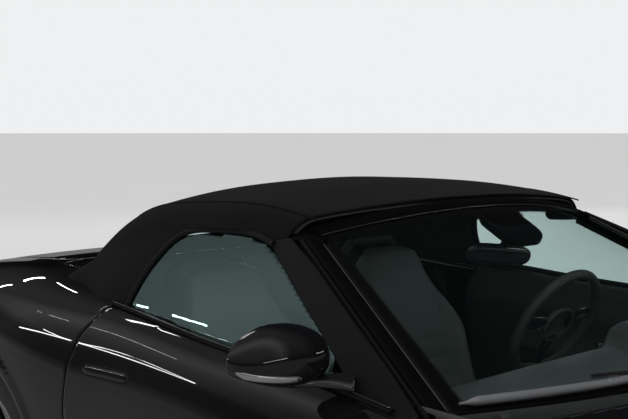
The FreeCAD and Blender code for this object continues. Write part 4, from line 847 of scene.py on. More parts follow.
class CAR_OT_body_panels(bpy.types.Operator):
    """Make the painted panels on the shared skin"""

    bl_idname = "car.body_panels"
    bl_label = "Painted panels"

    def execute(self, context):
        self.wall = context.scene.convertible_looks.panel_wall
        self.make_lids()
        self.make_sides()
        self.make_ends()
        return {"FINISHED"}

    def panel(self, name, mesh, node, body="body", edge=0.003):
        """Painted panel of the usual thickness."""
        add_piece(name, outward(mesh), "body_paint", body, "body_paint", [node], wall=self.wall, edge=edge)

    def make_lids(self):
        """Bonnet with its louvres, boot lid folded over the tail, and the deck ahead of it."""
        bonnet = trimmed_patch(top_rays, np.arange(-0.72, 0.7201, PITCH), np.arange(0.10, 1.56, PITCH),
                               lambda p: least(in_plan(p, BONNET), -in_louvres(p)))
        add_piece("bonnet_skin", outward(bonnet), "body_paint", "bonnet", "body_paint", ["bonnet"],
                  wall=0.022, edge=0.003)
        top = trimmed_patch(top_rays, np.arange(-0.574, 0.5741, PITCH), np.arange(3.66, 4.24, PITCH),
                            lambda p: least(in_plan(p, LID), LID_FOLD_S - p[:, 1]))
        rear = trimmed_patch(tail_rays, degrees(50, 130.1, 0.7), degrees(8, 42, 0.7),
                             lambda p: least(in_plan(p, LID), p[:, 2] - LID_LOW, p[:, 1] - LID_FOLD_S))
        self.panel("boot_lid_skin", joined(top, rear), "boot_lid", "boot_lid", edge=0)
        across, stations = np.arange(-0.63, 0.6301, PITCH), np.arange(3.42, 3.72, PITCH)
        deck = trimmed_patch(top_rays, across, stations, lambda p: least(
            in_plan(p, DECK) - 0.0005, -in_plan(p, CABIN), -in_plan(p, LID) - SHUT_GAP, 3.700 - p[:, 1]))
        self.panel("rear_deck_skin", deck, "rear_deck", edge=0.002)

    def make_sides(self):
        """Front wings, doors and rear quarters, and the sills below them."""
        wing = trimmed_patch(side_rays, np.arange(0.36, 1.80, PITCH), degrees(-23, 75, 0.8), lambda p: least(
            -in_plan(p, BONNET) - SHUT_GAP, -in_door(p) - SHUT_GAP, outside_arch(p, FRONT_AXLE, FRONT_ARCH_R),
            p[:, 2] - np.where(p[:, 1] > FRONT_AXLE, SILL_SEAM_Z, SILL + 0.005),
            -ahead_of_bumper_seam(p) - 0.001, -in_plan(p, COWL), 1.62 - p[:, 1], -in_plan(p, LAMP) - 0.001))
        door = trimmed_patch(side_rays, np.arange(1.44, 2.96, PITCH), degrees(-23, 50, 0.8), lambda p: least(
            in_door(p), door_top(p)))
        quarter = trimmed_patch(tail_rays, degrees(-48, 80, 0.85), degrees(-24, 62, 0.8), lambda p: least(
            -in_door(p) - SHUT_GAP, outside_arch(p, REAR_AXLE, REAR_ARCH_R), -in_plan(p, LID) - SHUT_GAP,
            -in_plan(p, CABIN), -in_plan(p, DECK) - 0.001, -below_tail_seam(p) - 0.001,
            -in_tail_lamp(p) - 0.001, p[:, 1] - 2.82,
            p[:, 2] - np.where(p[:, 1] < REAR_AXLE, SILL_SEAM_Z, SILL + 0.005)))
        for name, mesh in (("wing", wing), ("door", door), ("quarter", quarter)):
            for side, sign in SIDES:
                body = f"door_{side}" if name == "door" else "body"
                self.panel(f"{name}_skin_{side}", on_side(mesh, sign), f"{name}_{side}", body)
        sill = trimmed_patch(side_rays, np.arange(1.19, 3.17, PITCH), degrees(-26, -10, 0.8), lambda p: least(
            SILL_SEAM_Z - 0.001 - p[:, 2], p[:, 2] - (SILL + 0.001), p[:, 1] - 1.209, 3.149 - p[:, 1],
            outside_arch(p, FRONT_AXLE, FRONT_ARCH_R), outside_arch(p, REAR_AXLE, REAR_ARCH_R)))
        sills = joined(outward(sill), outward(on_side(sill, -1)))
        add_piece("sill_skins", sills, "body_paint", "body", "body_paint", ["side_sills"], wall=0.06)

    def make_ends(self):
        """Both bumpers, fanned round the tail and the nose."""
        turn, rise = degrees(8, 172.1, 0.8), degrees(-30, 16, 0.8)
        rear = trimmed_patch(lambda a, b: fan_rays(a, b, 3.6, 1), turn, rise, lambda p: least(
            below_tail_seam(p), outside_arch(p, REAR_AXLE, REAR_ARCH_R), p[:, 2] - (SILL + 0.012),
            -in_tail_lamp(p), -in_diffuser(p)))
        self.panel("rear_bumper_skin", rear, "rear_bumper")
        front = trimmed_patch(nose_rays, degrees(28, 152.1, 0.8), degrees(-30, 26, 0.7), lambda p: least(
            ahead_of_bumper_seam(p), -in_plan(p, BONNET) - SHUT_GAP,
            outside_arch(p, FRONT_AXLE, FRONT_ARCH_R),
            p[:, 2] - (SILL + 0.012), -lamp_room(p), -in_grille(p)))
        self.panel("front_bumper_skin", front, "front_bumper")


# Roof: station, foot x and z, rail x and z, seam x and z, crown z (mm)
ROOF_SECTIONS = np.array([
    (2150, 790, 910, 600, 1188, 545, 1230, 1274), (2450, 797, 910, 636, 1200, 562, 1274, 1318),
    (2750, 797, 910, 645, 1182, 565, 1266, 1320), (3000, 822, 910, 648, 1138, 556, 1242, 1300),
    (3250, 796, 910, 634, 1070, 530, 1170, 1246), (3380, 800, 936, 606, 1034, 500, 1112, 1188),
    (3450, 752, 936, 590, 1006, 484, 1080, 1148), (3620, 600, 900, 504, 950, 425, 972, 1008),
]) / 1000
ROOF_BULGES = (0.02, 0.12)
BOWS = (2.46, 2.80, 3.10)  # stations of the bows that carry the cloth
ROOF_STEP = 0.006
ROOF_S, ROOF_T = np.arange(2.15, 3.6201, ROOF_STEP), np.linspace(0, 1, 161)
WINDOW_OUTLINE = [(1.826, 0.9415), (2.322, 1.182), (2.441, 1.199), (2.617, 1.193), (2.711, 1.183),
                  (2.758, 1.165), (2.798, 1.120), (2.825, 1.062), (2.830, 0.9663), (2.800, 0.9653),
                  (2.615, 0.9573), (2.415, 0.9483), (2.290, 0.9453)]
HEADER_HALF = [(0, 2.226), (0.300, 2.244), (0.540, 2.276), (0.600, 2.288), (0.680, 2.300), (1.0, 2.300),
               (1.0, 4.0), (0, 4.0)]
REAR_GLASS_HALF = [(0, 3.290), (0.380, 3.300), (0.330, 3.540), (0, 3.552)]
HEADER, REAR_GLASS = whole(HEADER_HALF, 0), whole(REAR_GLASS_HALF, 4)
HEM_LINE = ((2.318, 1.186), (2.380, 1.197), (2.441, 1.203), (2.530, 1.2015), (2.617, 1.197), (2.690, 1.190),
            (2.740, 1.177), (2.780, 1.151), (2.808, 1.110), (2.828, 1.062), (2.835, 1.010), (2.836, 0.962))


def roof_table():
    """Half sections of the roof, foot to crown, read evenly along their length, with softened corners."""
    rows = spline(ROOF_SECTIONS[:, 0], ROOF_SECTIONS[:, 1:], ROOF_S)
    curve = np.stack(section_curves(rows[:, [0, 2, 4]], rows[:, [1, 3, 5]], ROOF_BULGES, rows[:, 6:7]), 2)
    steps = np.linalg.norm(np.diff(curve, axis=1), axis=2)
    length = np.concatenate([np.zeros((len(ROOF_S), 1)), np.cumsum(steps, 1)], 1)
    even = np.array([[np.interp(ROOF_T, l / l[-1], c[:, k]) for k in (0, 1)] for l, c in zip(length, curve)])
    both = np.concatenate([even, (even * [[[-1], [1]]])[:, :, -2::-1]], 2)
    soft = blur_matrix(len(ROOF_S), 3) @ (both @ blur_matrix(both.shape[2], 3.0).T).transpose(1, 0, 2)
    return soft[0], soft[1]


ROOF_X, ROOF_Z = roof_table()


def roof_cloth(s, t, sink=0.0):
    """Roof cloth: t runs from the left foot over the crown to the right foot. The cloth rises a little over
    each bow and hangs a little between them."""
    x, z = (bilinear(table, (s - ROOF_S[0]) / ROOF_STEP, t * (table.shape[1] - 1))
            for table in (ROOF_X, ROOF_Z))
    top = step(1 - np.abs(2 * t - 1), 0.42, 0.75)
    wave = sum(bell(s, bow, 0.05) for bow in BOWS) - 0.45
    middle = np.stack([0 * x, 0 * x, z - 0.35], 1)
    away = unit(np.stack([x, 0 * x, z], 1) - middle)
    points = np.stack([x, s, z], 1)
    return points + away * (0.0025 * wave * top * step(s, 2.25, 2.40) - sink)[:, None]


def seam_place(s):
    """Where the side seam crosses the cloth on the right half, as a share of its way from foot to foot."""
    seam_x = spline(ROOF_SECTIONS[:, 0], ROOF_SECTIONS[:, 5], s)
    half = (ROOF_X.shape[1] - 1) // 2
    rows = ((s - ROOF_S[0]) / ROOF_STEP).astype(int).clip(0, len(ROOF_S) - 1)
    share = np.linspace(0, 1, half + 1)
    return np.array([0.5 + 0.5 * np.interp(x, -ROOF_X[row, half:], share) for row, x in zip(rows, seam_x)])


CLOTH_CUT = rounded([(1.50, 0.80), *WINDOW_OUTLINE[:8], (2.832, 0.80)], 2)


def roof_edge(p, grow=0.0):
    """Above zero on the roof cloth: behind the header, outside both side windows and the rear glass, and
    above the body's skin."""
    side = np.where(np.abs(p[:, 0]) > 0.5, -outline_distance(p[:, 1], p[:, 2], CLOTH_CUT) - 0.010, 1)
    header = outline_distance(p[:, 0], p[:, 1], HEADER)
    return least(header, side, -in_plan(p, REAR_GLASS), skin_distance(p) + 0.004) - grow


class CAR_OT_roof(bpy.types.Operator):
    """Make the roof cloth, its lining, seams and hems, with an opening left for the rear glass"""

    bl_idname = "car.roof"
    bl_label = "Fabric roof"

    def execute(self, context):
        stations, across = np.arange(2.16, 3.6199, 0.012), np.linspace(0, 1, 190)
        inside = (0, 2.9, 0.8)
        points, faces = trimmed_patch(roof_cloth, stations, across, roof_edge)
        cloth = outward((points, faces), inside)
        flat = np.stack([np.sign(points[:, 0]) * np.hypot(points[:, 0], ROOF - points[:, 2]),
                         points[:, 1]], 1)
        roof = add_piece("roof_cloth", cloth, "roof_fabric", "body", "roof_fabric", ["soft_top"], uv=flat,
                         wall=context.scene.convertible_looks.cloth_wall, edge=0.0015)
        corners = np.array([f for f in faces if len(f) == 4])
        a, b, c, d = (points[corners[:, k]] for k in range(4))
        area = 0.5 * np.linalg.norm(np.cross(c - a, d - b), axis=1).sum()

        lining = trimmed_patch(lambda s, t: roof_cloth(s, t, 0.016), stations, across,
                               lambda p: roof_edge(p, 0.001))
        add_piece("roof_lining", outward(lining, inside), "lining", "body", "roof_fabric", wall=0.003)
        self.make_seams()
        return {"FINISHED"}

    def make_seams(self):
        """Piping along both side seams, and the hem over each side window."""
        bead = oval(0.0032, 0.0022, count=8)
        for side, sign in SIDES:
            s = np.linspace(2.245, 3.56, 130)
            path = roof_cloth(s, 0.5 - sign * (seam_place(s) - 0.5))
            hem = smooth_path([(sign * 0.640, s, z) for s, z in HEM_LINE], 90)
            hem[:, 0] = window_plane(hem[:, 1], hem[:, 2], sign, 0.004)[:, 0]
            edging = sweep(hem, oval(0.0085, 0.0065, 2.4, 14), up=(sign, 0, 0.5))
            add_piece(f"roof_hem_{side}", edging, "rubber", "body", "roof_fabric")
            piping = sweep(path + (0, 0, 0.0008), bead, up=(sign * 0.6, 0, 0.8))
            add_piece(f"roof_seam_{side}", piping, "roof_fabric", "body", "roof_fabric")


# Windscreen: lower and upper edge as (corner x, corner s, corner z, middle s, middle z)
SCREEN_LOW, SCREEN_TOP = (0.731, 1.623, 0.923, 1.434, 0.936), (0.553, 2.240, 1.204, 2.166, 1.258)
SCREEN_LEAN = (0, -0.42, 0.9)  # way out of the glass


def screen(u, v, out=0.0):
    """Windscreen: u runs from the right edge at -1 to the left at 1 and v from the foot to the header. Both
    edges are shallow arcs, and the pane bulges a little between them."""
    ends = []
    for x, s, z, mid_s, mid_z in (SCREEN_LOW, SCREEN_TOP):
        ends.append(np.stack([x * u, mid_s + (s - mid_s) * u ** 2, mid_z + (z - mid_z) * u ** 2], 1))
    points = ends[0] * (1 - v[:, None]) + ends[1] * v[:, None]
    bulge = 0.056 * v * (1 - v) * (1 - u ** 2)
    return points + np.array(SCREEN_LEAN) * (bulge + out)[:, None]


def border_shade(u, v):
    """Share of the black printed border: a band round the pane, wider at the header and round the mirror."""
    edge = least((1 - np.abs(u)) * 0.66, v * 0.75, (1 - v) * 0.75)
    pad = 0.065 - np.hypot(u * 0.62 * 0.55, (1 - v) * 0.75 - 0.03)
    return np.clip(np.maximum(0.038 - edge, pad) / 0.004, 0, 1)


# Section of the bright trim round the glass, and the outlines of the door window and of the sail ahead of it
TRIM_SECTION = oval(0.0022, 0.0026, 2, 8)
GLASS_EDGE = rounded(WINDOW_OUTLINE, 1)
SAIL = rounded([(1.640, 0.905), (1.640, 0.936), (2.250, 1.2075), (2.334, 1.1925), (2.326, 1.181),
                (1.846, 0.948), (1.846, 0.925)], 1)


def window_plane(s, z, sign, out=0.0):
    """Door glass: leans in by two thirds of its height and bulges slightly."""
    x = 0.790 + out - 0.66 * (z - BELT) + 0.004 * np.sin(np.pi * np.clip((z - BELT) / 0.25, 0, 1))
    return np.stack([sign * x, s, z], 1)


class CAR_OT_glazing(bpy.types.Operator):
    """Make the windscreen with its printed border, pillars and trim, and the door glass with its seals"""

    bl_idname = "car.glazing"
    bl_label = "Glass and pillars"

    def execute(self, context):
        u, v = pairs(np.linspace(-1, 1, 140), np.linspace(0, 1, 80))
        pane = outward((screen(u, v), grid_faces(140, 80)), (0, 2.2, 0.7))
        glass = add_piece("windscreen_pane", pane, "screen_glass", "body", "window_glass", ["windscreen"],
                          wall=0.005)
        border = glass.data.attributes.new("border", "FLOAT", "POINT")
        border.data.foreach_set("value", border_shade(u, v))
        for side, sign in SIDES:
            self.make_pillar(side, sign)
            self.make_side_glass(side, sign, context.scene.convertible_looks.pane_wall)
        top = screen(np.linspace(-1.0, 1.0, 90), np.ones(90))
        lift = np.array([0, -0.35, 0.94])
        trim = sweep(top + lift * 0.003 + (0, 0.003, 0), TRIM_SECTION, up=lift)
        add_piece("screen_trim_top", trim, "dark_chrome", "body", "gloss_trim")
        header = sweep(top + (0, 0.028, 0.004), oval(0.026, 0.014, 3.2, 24), up=lift)
        add_piece("header_beam", header, "pillar", "body", "gloss_trim", ["windscreen_frame"])
        return {"FINISHED"}

    def make_pillar(self, side, sign):
        """Pillar beside the windscreen with its trim and seal, and the rail that runs back from its top."""
        path = screen(np.full(60, sign * 1.0), np.linspace(0, 1, 60))
        lift = unit(np.array([0.25 * sign, -0.42, 0.87]))
        rail = smooth_path([(sign * 0.560, 2.214, 1.184), (sign * 0.578, 2.258, 1.196),
                            (sign * 0.598, 2.316, 1.192), (sign * 0.606, 2.400, 1.186)], 30)
        for name, finish, piece in (
                ("pillar", "pillar", sweep(path + (sign * 0.022, 0.004, 0) - lift * 0.018,
                                           oval(0.022, 0.022, 3.2, 28), up=lift)),
                ("screen_trim", "dark_chrome", sweep(path + (sign * 0.003, 0.002, 0) + lift * 0.003,
                                                     TRIM_SECTION, up=lift)),
                ("pillar_seal", "rubber", sweep(path + (sign * 0.047, 0.012, -0.004) - lift * 0.010,
                                                oval(0.007, 0.012, 2, 12), up=lift)),
                ("cant_rail", "pillar", sweep(rail, oval(0.021, 0.015, 3, 24), up=(0.5 * sign, 0, 0.86)))):
            add_piece(f"{name}_{side}", piece, finish, "body", "gloss_trim")

    def make_side_glass(self, side, sign, wall):
        """Door window, and the dark sail-shaped seal ahead of it."""
        body, centre = f"door_{side}", (0, 2.3, 0.9)
        sail = trimmed_patch(lambda s, z: window_plane(s, z, sign, 0.002), np.arange(1.58, 2.36, 0.004),
                             np.arange(0.88, 1.22, 0.004), lambda p: outline_distance(p[:, 1], p[:, 2], SAIL))
        add_piece(f"window_seal_{side}", outward(sail, centre), "rubber", body, "gloss_trim", wall=0.010)
        pane = trimmed_patch(lambda s, z: window_plane(s, z, sign), np.arange(1.78, 2.86, 0.010),
                             np.arange(0.93, 1.22, 0.010), lambda p: least(
                                 outline_distance(p[:, 1], p[:, 2], GLASS_EDGE), p[:, 2] - 0.938))
        add_piece(f"door_pane_{side}", outward(pane, centre), "window_glass", body, "window_glass",
                  [f"door_glass_{side}"], wall=wall)


BELT_LINE = np.array([(1.70, 0.9265), (1.90, 0.9375), (2.289, 0.943), (2.415, 0.946), (2.615, 0.955),
                      (2.800, 0.963), (2.905, 0.967)])


def skin_x(s, z):
    """Half width of the skin at a station and height."""
    origin = np.stack([np.full_like(s, 0.4), s, z], 1)
    return to_skin(origin, np.repeat([[1.0, 0.0, 0.0]], len(s), 0))[:, 0]


def door_trim_surface(s, z, sign):
    """Door's inner trim: a wall set in from the skin, with an armrest that swells out at elbow height."""
    x = skin_x(s, np.minimum(z, 0.90)) - 0.125 + 0.055 * step(z, 0.80, 0.93)
    rest = bell(z, 0.64 + 0.03 * step(s, 2.0, 2.6), 0.035) * step(s, 1.75, 1.95) * (1 - step(s, 2.62, 2.78))
    pocket = bell(z, 0.40, 0.05, 4) * step(s, 1.66, 1.74) * (1 - step(s, 2.30, 2.40))
    return np.stack([sign * (x - 0.045 * rest - 0.020 * pocket), s, z], 1)


class CAR_OT_doors(bpy.types.Operator):
    """Make what a door needs behind its skin: rim, inner trim, belt seal and flush handle"""

    bl_idname = "car.doors"
    bl_label = "Door trims and handles"

    def execute(self, context):
        for side, sign in SIDES:
            self.make_inside(side, sign)
            self.make_belt(side, sign)
            self.make_handle(side, sign)
        return {"FINISHED"}

    def make_inside(self, side, sign):
        """Rim from the skin's edge to the inner trim, the trim itself and its pull handle."""
        body = f"door_{side}"
        edge = DOOR_OUTLINE[DOOR_OUTLINE[:, 1] < 0.925]
        start = np.argmax(np.linalg.norm(edge - np.roll(edge, 1, 0), axis=1))
        edge = np.roll(edge, -start, 0)
        away = edge - edge.mean(0)
        inside = edge.mean(0) + away * (1 - 0.004 / np.linalg.norm(away, axis=1, keepdims=True))
        inner = door_trim_surface(*inside.T, sign)
        outer = np.stack([sign * (skin_x(*inside.T) - 0.010), *inside.T], 1)
        # Ahead of the hinge the rim is short, so that it clears the front body when the door swings
        reach = (np.linspace(0, 1, 6) * (1 - 0.80 * step(1.66 - inside[:, :1], 0.0, 0.10)))[..., None]
        strip = outer[:, None] * (1 - reach) + inner[:, None] * reach
        rim = outward((strip.reshape(-1, 3), grid_faces(len(inside), 6)), (sign * 0.82, 2.2, 0.6))
        add_piece(f"door_rim_{side}", rim, "body_paint", body, "body_paint", wall=0.003)
        trim = trimmed_patch(lambda s, z: door_trim_surface(s, z, sign), np.arange(1.44, 2.96, 0.016),
                             np.arange(0.25, 0.955, 0.016), lambda p: least(
                                 in_door(p) - 0.004, 0.935 + 0.02 * step(p[:, 1], 2.3, 2.9) - p[:, 2]))
        add_piece(f"door_trim_{side}", outward(trim, (sign * 1.5, 2.2, 0.6)), "cabin_trim", body, "dark_trim",
                  wall=0.006)
        pull = smooth_path([(sign * 0.735, 2.02, 0.70), (sign * 0.705, 2.05, 0.715),
                            (sign * 0.700, 2.16, 0.73), (sign * 0.710, 2.26, 0.735),
                            (sign * 0.735, 2.29, 0.725)], 30)
        add_piece(f"door_pull_{side}", sweep(pull, oval(0.010, 0.014, 2.4, 16)), "chrome", body, "gloss_trim")

    def make_belt(self, side, sign):
        """Rubber seal along the foot of the side glass, and the gloss strip outside it."""
        s = np.linspace(1.70, 2.905, 90)
        top = np.interp(s, *BELT_LINE.T)
        lean = (sign * 0.55, 0, 0.83)
        seal = sweep(window_plane(s, top, sign, 0.006) - (0, 0, 0.002), oval(0.0065, 0.0068, 3, 14), up=lean)
        add_piece(f"belt_seal_{side}", seal, "rubber", f"door_{side}", "gloss_trim")
        strip = sweep(window_plane(s, top + 0.006, sign, 0.014), oval(0.0018, 0.0022, 2, 8), up=lean)
        add_piece(f"belt_trim_{side}", strip, "gloss_trim", f"door_{side}", "gloss_trim")

    def make_handle(self, side, sign):
        """Flush handle: a blade on the skin, rounded at its ends, over a larger dark sheet: painted shade of
        its recess.
        """
        u, v = pairs(np.linspace(-1, 1, 60), np.linspace(-1, 1, 16))
        half = 0.013 * np.clip(1 - np.abs(u) ** 8, 0, 1) ** 0.5
        # The dark sheet sits 0.6 mm off the skin and 4 mm wider than the blade: painted shade of the handle's
        # recess
        for name, finish, grow, lift in (("handle", "body_paint", 0.0, 0.0035),
                                         ("handle_recess_shade", "rubber", 0.004, 0.0006)):
            s = 2.7475 + u * (0.1205 + grow)
            z = 0.806 - 0.008 * u + v * (half + grow)
            x = skin_x(s, z) + lift * (1 - 0.6 * v ** 4) * (1 - 0.6 * u ** 10)
            blade = outward((np.stack([sign * x, s, z], 1), grid_faces(60, 16)), (0, 2.7, 0.8))
            add_piece(f"{name}_{side}", blade, finish, f"door_{side}", "body_paint", wall=0.004)


# Seat's half width and half thickness by share of the way from the cushion's front to the head restraint
SEAT_WIDTHS = ((0, 0.05, 0.35, 0.50, 0.72, 0.82, 0.90, 0.97, 1),
               (0.20, 0.245, 0.248, 0.235, 0.245, 0.205, 0.150, 0.135, 0.09))
SEAT_DEPTHS = ((0, 0.04, 0.30, 0.45, 0.75, 0.90, 0.97, 1),
               (0.020, 0.055, 0.070, 0.075, 0.060, 0.052, 0.045, 0.015))


def seat_form(v, turn, sign):
    """Seat: closed sections carried along a spine from the cushion's front edge back and up to the head
    restraint. Bolsters swell at both sides, a seam parts them from the middle, and the middle is fluted."""
    spine = smooth_path([(0, 2.185, 0.370), (0, 2.33, 0.355), (0, 2.55, 0.335), (0, 2.665, 0.345),
                         (0, 2.755, 0.450), (0, 2.815, 0.600), (0, 2.865, 0.760), (0, 2.915, 0.890),
                         (0, 2.955, 0.985), (0, 2.985, 1.030)], 400)
    at = v * 399
    points = np.stack([np.interp(at, np.arange(400), spine[:, k]) for k in range(3)], 1)
    run = unit(np.gradient(spine, axis=0))
    run = np.stack([np.interp(at, np.arange(400), run[:, k]) for k in range(3)], 1)
    front = unit(np.cross(run, np.repeat([[-1.0, 0, 0]], len(v), 0)))
    half = np.interp(v, *SEAT_WIDTHS)
    thick = np.interp(v, *SEAT_DEPTHS)
    c, w = np.cos(turn), np.sin(turn)
    side = half * np.sign(c) * np.abs(c) ** 0.55
    across = np.abs(side) / half
    top = np.where(w > 0, 1.0, 0.0)
    rise = thick * np.sign(w) * np.abs(w) ** 0.45
    bolster = 0.042 * step(v, 0.02, 0.15) * (1 - step(v, 0.74, 0.86)) * (1 - 0.6 * bell(v, 0.42, 0.05))
    rise = rise + top * bolster * bell(across, 0.84, 0.13)
    rise = rise - top * 0.010 * bell(across, 0.64, 0.022) * (1 - step(v, 0.80, 0.86))
    flute = (np.abs(np.sin(np.pi * v * 17)) ** 0.6 - 0.8) * step(v, 0.08, 0.12) * (1 - step(v, 0.74, 0.78))
    rise = rise + top * 0.007 * flute * (1 - step(across, 0.56, 0.63))
    return points + front * rise[:, None] + np.stack([sign * 0.37 + side, 0 * side, 0 * side], 1)


# Rings on the dashboard as (x, height, radius, station): four air vents, then two dials
DASH_RINGS = ((-0.60, 0.835, 0.034, 1.888), (-0.20, 0.84, 0.030, 1.888), (0.17, 0.84, 0.030, 1.888),
              (0.62, 0.835, 0.034, 1.888), (0.305, 0.885, 0.048, 1.876), (0.435, 0.885, 0.048, 1.876))


class CAR_OT_cabin(bpy.types.Operator):
    """Make the cabin: seats, steering wheel, dashboard with its hood, console, inside mirror and the shelf
    behind the seats
    """

    bl_idname = "car.cabin"
    bl_label = "Cabin"

    def execute(self, context):
        for side, sign in SIDES:
            self.make_seat(side, sign)
        self.make_wheel()
        self.make_dashboard()
        self.make_console()
        self.make_mirror()
        self.make_shelf()
        return {"FINISHED"}

    def make_seat(self, side, sign):
        """Seat cover over its base, with the belt that hangs behind it."""
        points = seat_form(*pairs(np.linspace(0, 1, 190),
                                  np.linspace(-np.pi, np.pi, 96, endpoint=False)), sign)
        add_piece(f"seat_pad_{side}", filled_out((points, tube_faces(190, 96))), "seat_leather", "body",
                  "seat_leather", [f"seat_{side}"])
        base = sweep([(sign * 0.37, s, 0.245) for s in np.linspace(2.22, 2.70, 12)], oval(0.19, 0.048, 6, 28))
        add_piece(f"seat_base_{side}", base, "dark_trim", "body", "seat_leather")
        belt = smooth_path([(sign * 0.60, 2.93, 0.93), (sign * 0.585, 2.88, 0.90), (sign * 0.56, 2.85, 0.76),
                            (sign * 0.595, 2.77, 0.55), (sign * 0.61, 2.70, 0.36)], 40)
        webbing = sweep(belt, oval(0.023, 0.0012, 8, 12), up=(sign, -0.3, 0.1))
        add_piece(f"seat_belt_{side}", webbing, "belt_webbing", "body", "seat_leather")

    def make_shelf(self):
        """Trim panel behind the seats, which closes the cabin off from the boot."""
        profile = smooth_path([(0, 3.00, 0.42), (0, 3.03, 0.76), (0, 3.10, 0.86), (0, 3.32, 0.905),
                               (0, 3.56, 0.968), (0, 3.61, 0.974)], 40)
        across, down = pairs(np.linspace(-1, 1, 30), np.arange(40))
        points = profile[down]
        points[:, 0] = across * np.interp(points[:, 1], (3.0, 3.45, 3.61), (0.72, 0.64, 0.46))
        shelf = outward((points, grid_faces(30, 40)), (0, 3.5, 0.5))
        add_piece("rear_shelf", shelf, "lining", "body", "dark_trim", wall=0.004)

    def make_wheel(self):
        """Steering wheel: rim with thumb swells, three spokes and a padded hub, leaning by 25 degrees."""
        lean = np.radians(25)
        axle = np.array([0, np.cos(lean), np.sin(lean)])
        upwards, across = np.array([0, -np.sin(lean), np.cos(lean)]), np.array([1.0, 0, 0])
        centre = np.array([0.37, 2.19, 0.87])
        turn = np.linspace(0, 2 * np.pi, 120, endpoint=False)
        flat = 0.180 - 0.012 * step(-np.sin(turn), 0.80, 1.0)
        rim_path = centre + flat[:, None] * (np.cos(turn)[:, None] * across + np.sin(turn)[:, None] * upwards)
        grip = 1 + 0.12 * bell(np.abs(turn - np.pi), 0.82 * np.pi, 0.15)
        rim = sweep(rim_path, oval(0.0155, 0.0145, 2, 20), up=axle, scale=grip, closed=True)
        add_piece("steering_rim", rim, "cabin_trim", "steering_wheel", "dark_trim", ["steering_wheel"])
        for i, angle in enumerate((0.12, np.pi - 0.12, 1.5 * np.pi)):
            way = np.cos(angle) * across + np.sin(angle) * upwards
            path = smooth_path([centre - axle * 0.006 + way * 0.045, centre + axle * 0.004 + way * 0.10,
                                centre + way * 0.166], 16)
            spoke = sweep(path, oval(0.019, 0.007, 3, 18), up=axle, scale=np.linspace(1.3, 0.75, 16))
            add_piece(f"steering_spoke_{i}", spoke, "gloss_trim", "steering_wheel", "dark_trim")
        u, v = pairs(np.linspace(0, 1, 20), np.linspace(0, 2 * np.pi, 40, endpoint=False))
        radius = u * (0.072 - 0.010 * np.sin(v) ** 2)
        dome = 0.028 * np.sqrt(np.clip(1 - u ** 2.4, 0, 1)) - 0.012
        local = np.stack([radius * np.cos(v), radius * np.sin(v), dome], 1)
        hub = centre + local @ np.array([across, upwards, axle])
        pad = outward((hub, grid_faces(20, 40, close_columns=True)), centre - axle)
        add_piece("steering_pad", pad, "cabin_trim", "steering_wheel", "dark_trim", wall=0.01)

    def make_dashboard(self):
        """Dashboard: one section carried across the cabin, hooded over the dials, with vents and a screen."""
        profile = smooth_path([(1.515, 0.865), (1.56, 0.893), (1.70, 0.902), (1.83, 0.896), (1.878, 0.872),
                               (1.884, 0.820), (1.872, 0.700), (1.845, 0.640), (1.780, 0.605),
                               (1.560, 0.610)], 60)
        x = np.linspace(-0.688, 0.688, 140)[:, None]
        hood = bell(np.abs(x - 0.37), 0, 0.165, 6)
        s, z = (np.repeat(row[None], 140, 0) for row in profile.T)
        z = z + hood * 0.048 * step(s, 1.62, 1.80) * step(z, 0.80, 0.88)
        curve = 0.03 * (x / 0.69) ** 2 * step(s, 1.7, 1.88)
        s = s + hood * 0.040 * step(s, 1.74, 1.87) * step(z, 0.80, 0.90) - curve
        points = np.stack([np.repeat(x, 60, 1), s, z], 2).reshape(-1, 3)
        dash = filled_out((points, tube_faces(140, 60)))
        add_piece("dashboard_skin", dash, "cabin_trim", "body", "dark_trim", ["dashboard"])
        face = rounded([(-0.13, 0.715), (0.13, 0.715), (0.13, 0.835), (-0.13, 0.835)], 3)
        face = np.stack([face[:, 0], 1.893 - 0.12 * (face[:, 1] - 0.76), face[:, 1]], 1)
        add_piece("dash_screen", slab(face, face - (0, 0.02, 0)), "gloss_trim", "body", "dark_trim",
                  smooth=False)
        turn = np.linspace(0, 2 * np.pi, 48, endpoint=False)
        for i, (x, z, radius, depth) in enumerate(DASH_RINGS):
            ring = np.stack([x + radius * np.cos(turn), np.full(48, depth), z + radius * np.sin(turn)], 1)
            ring = sweep(ring, oval(0.003, 0.005, 2, 10), up=(0, 1, 0), closed=True)
            add_piece(f"dash_ring_{i}", ring, "chrome", "body", "dark_trim")
        for i, (x, z, radius, depth) in enumerate(DASH_RINGS[:4]):
            bars = [sweep([(x - half, 1.886, z + up), (x, 1.888, z + up), (x + half, 1.886, z + up)],
                          oval(0.004, 0.0015, 2, 8))
                    for up, half in zip(radius * np.array((-0.5, 0, 0.5)),
                                        radius * np.array((0.84, 0.97, 0.84)))]
            add_piece(f"dash_vent_{i}", joined(*bars), "gloss_trim", "body", "dark_trim")

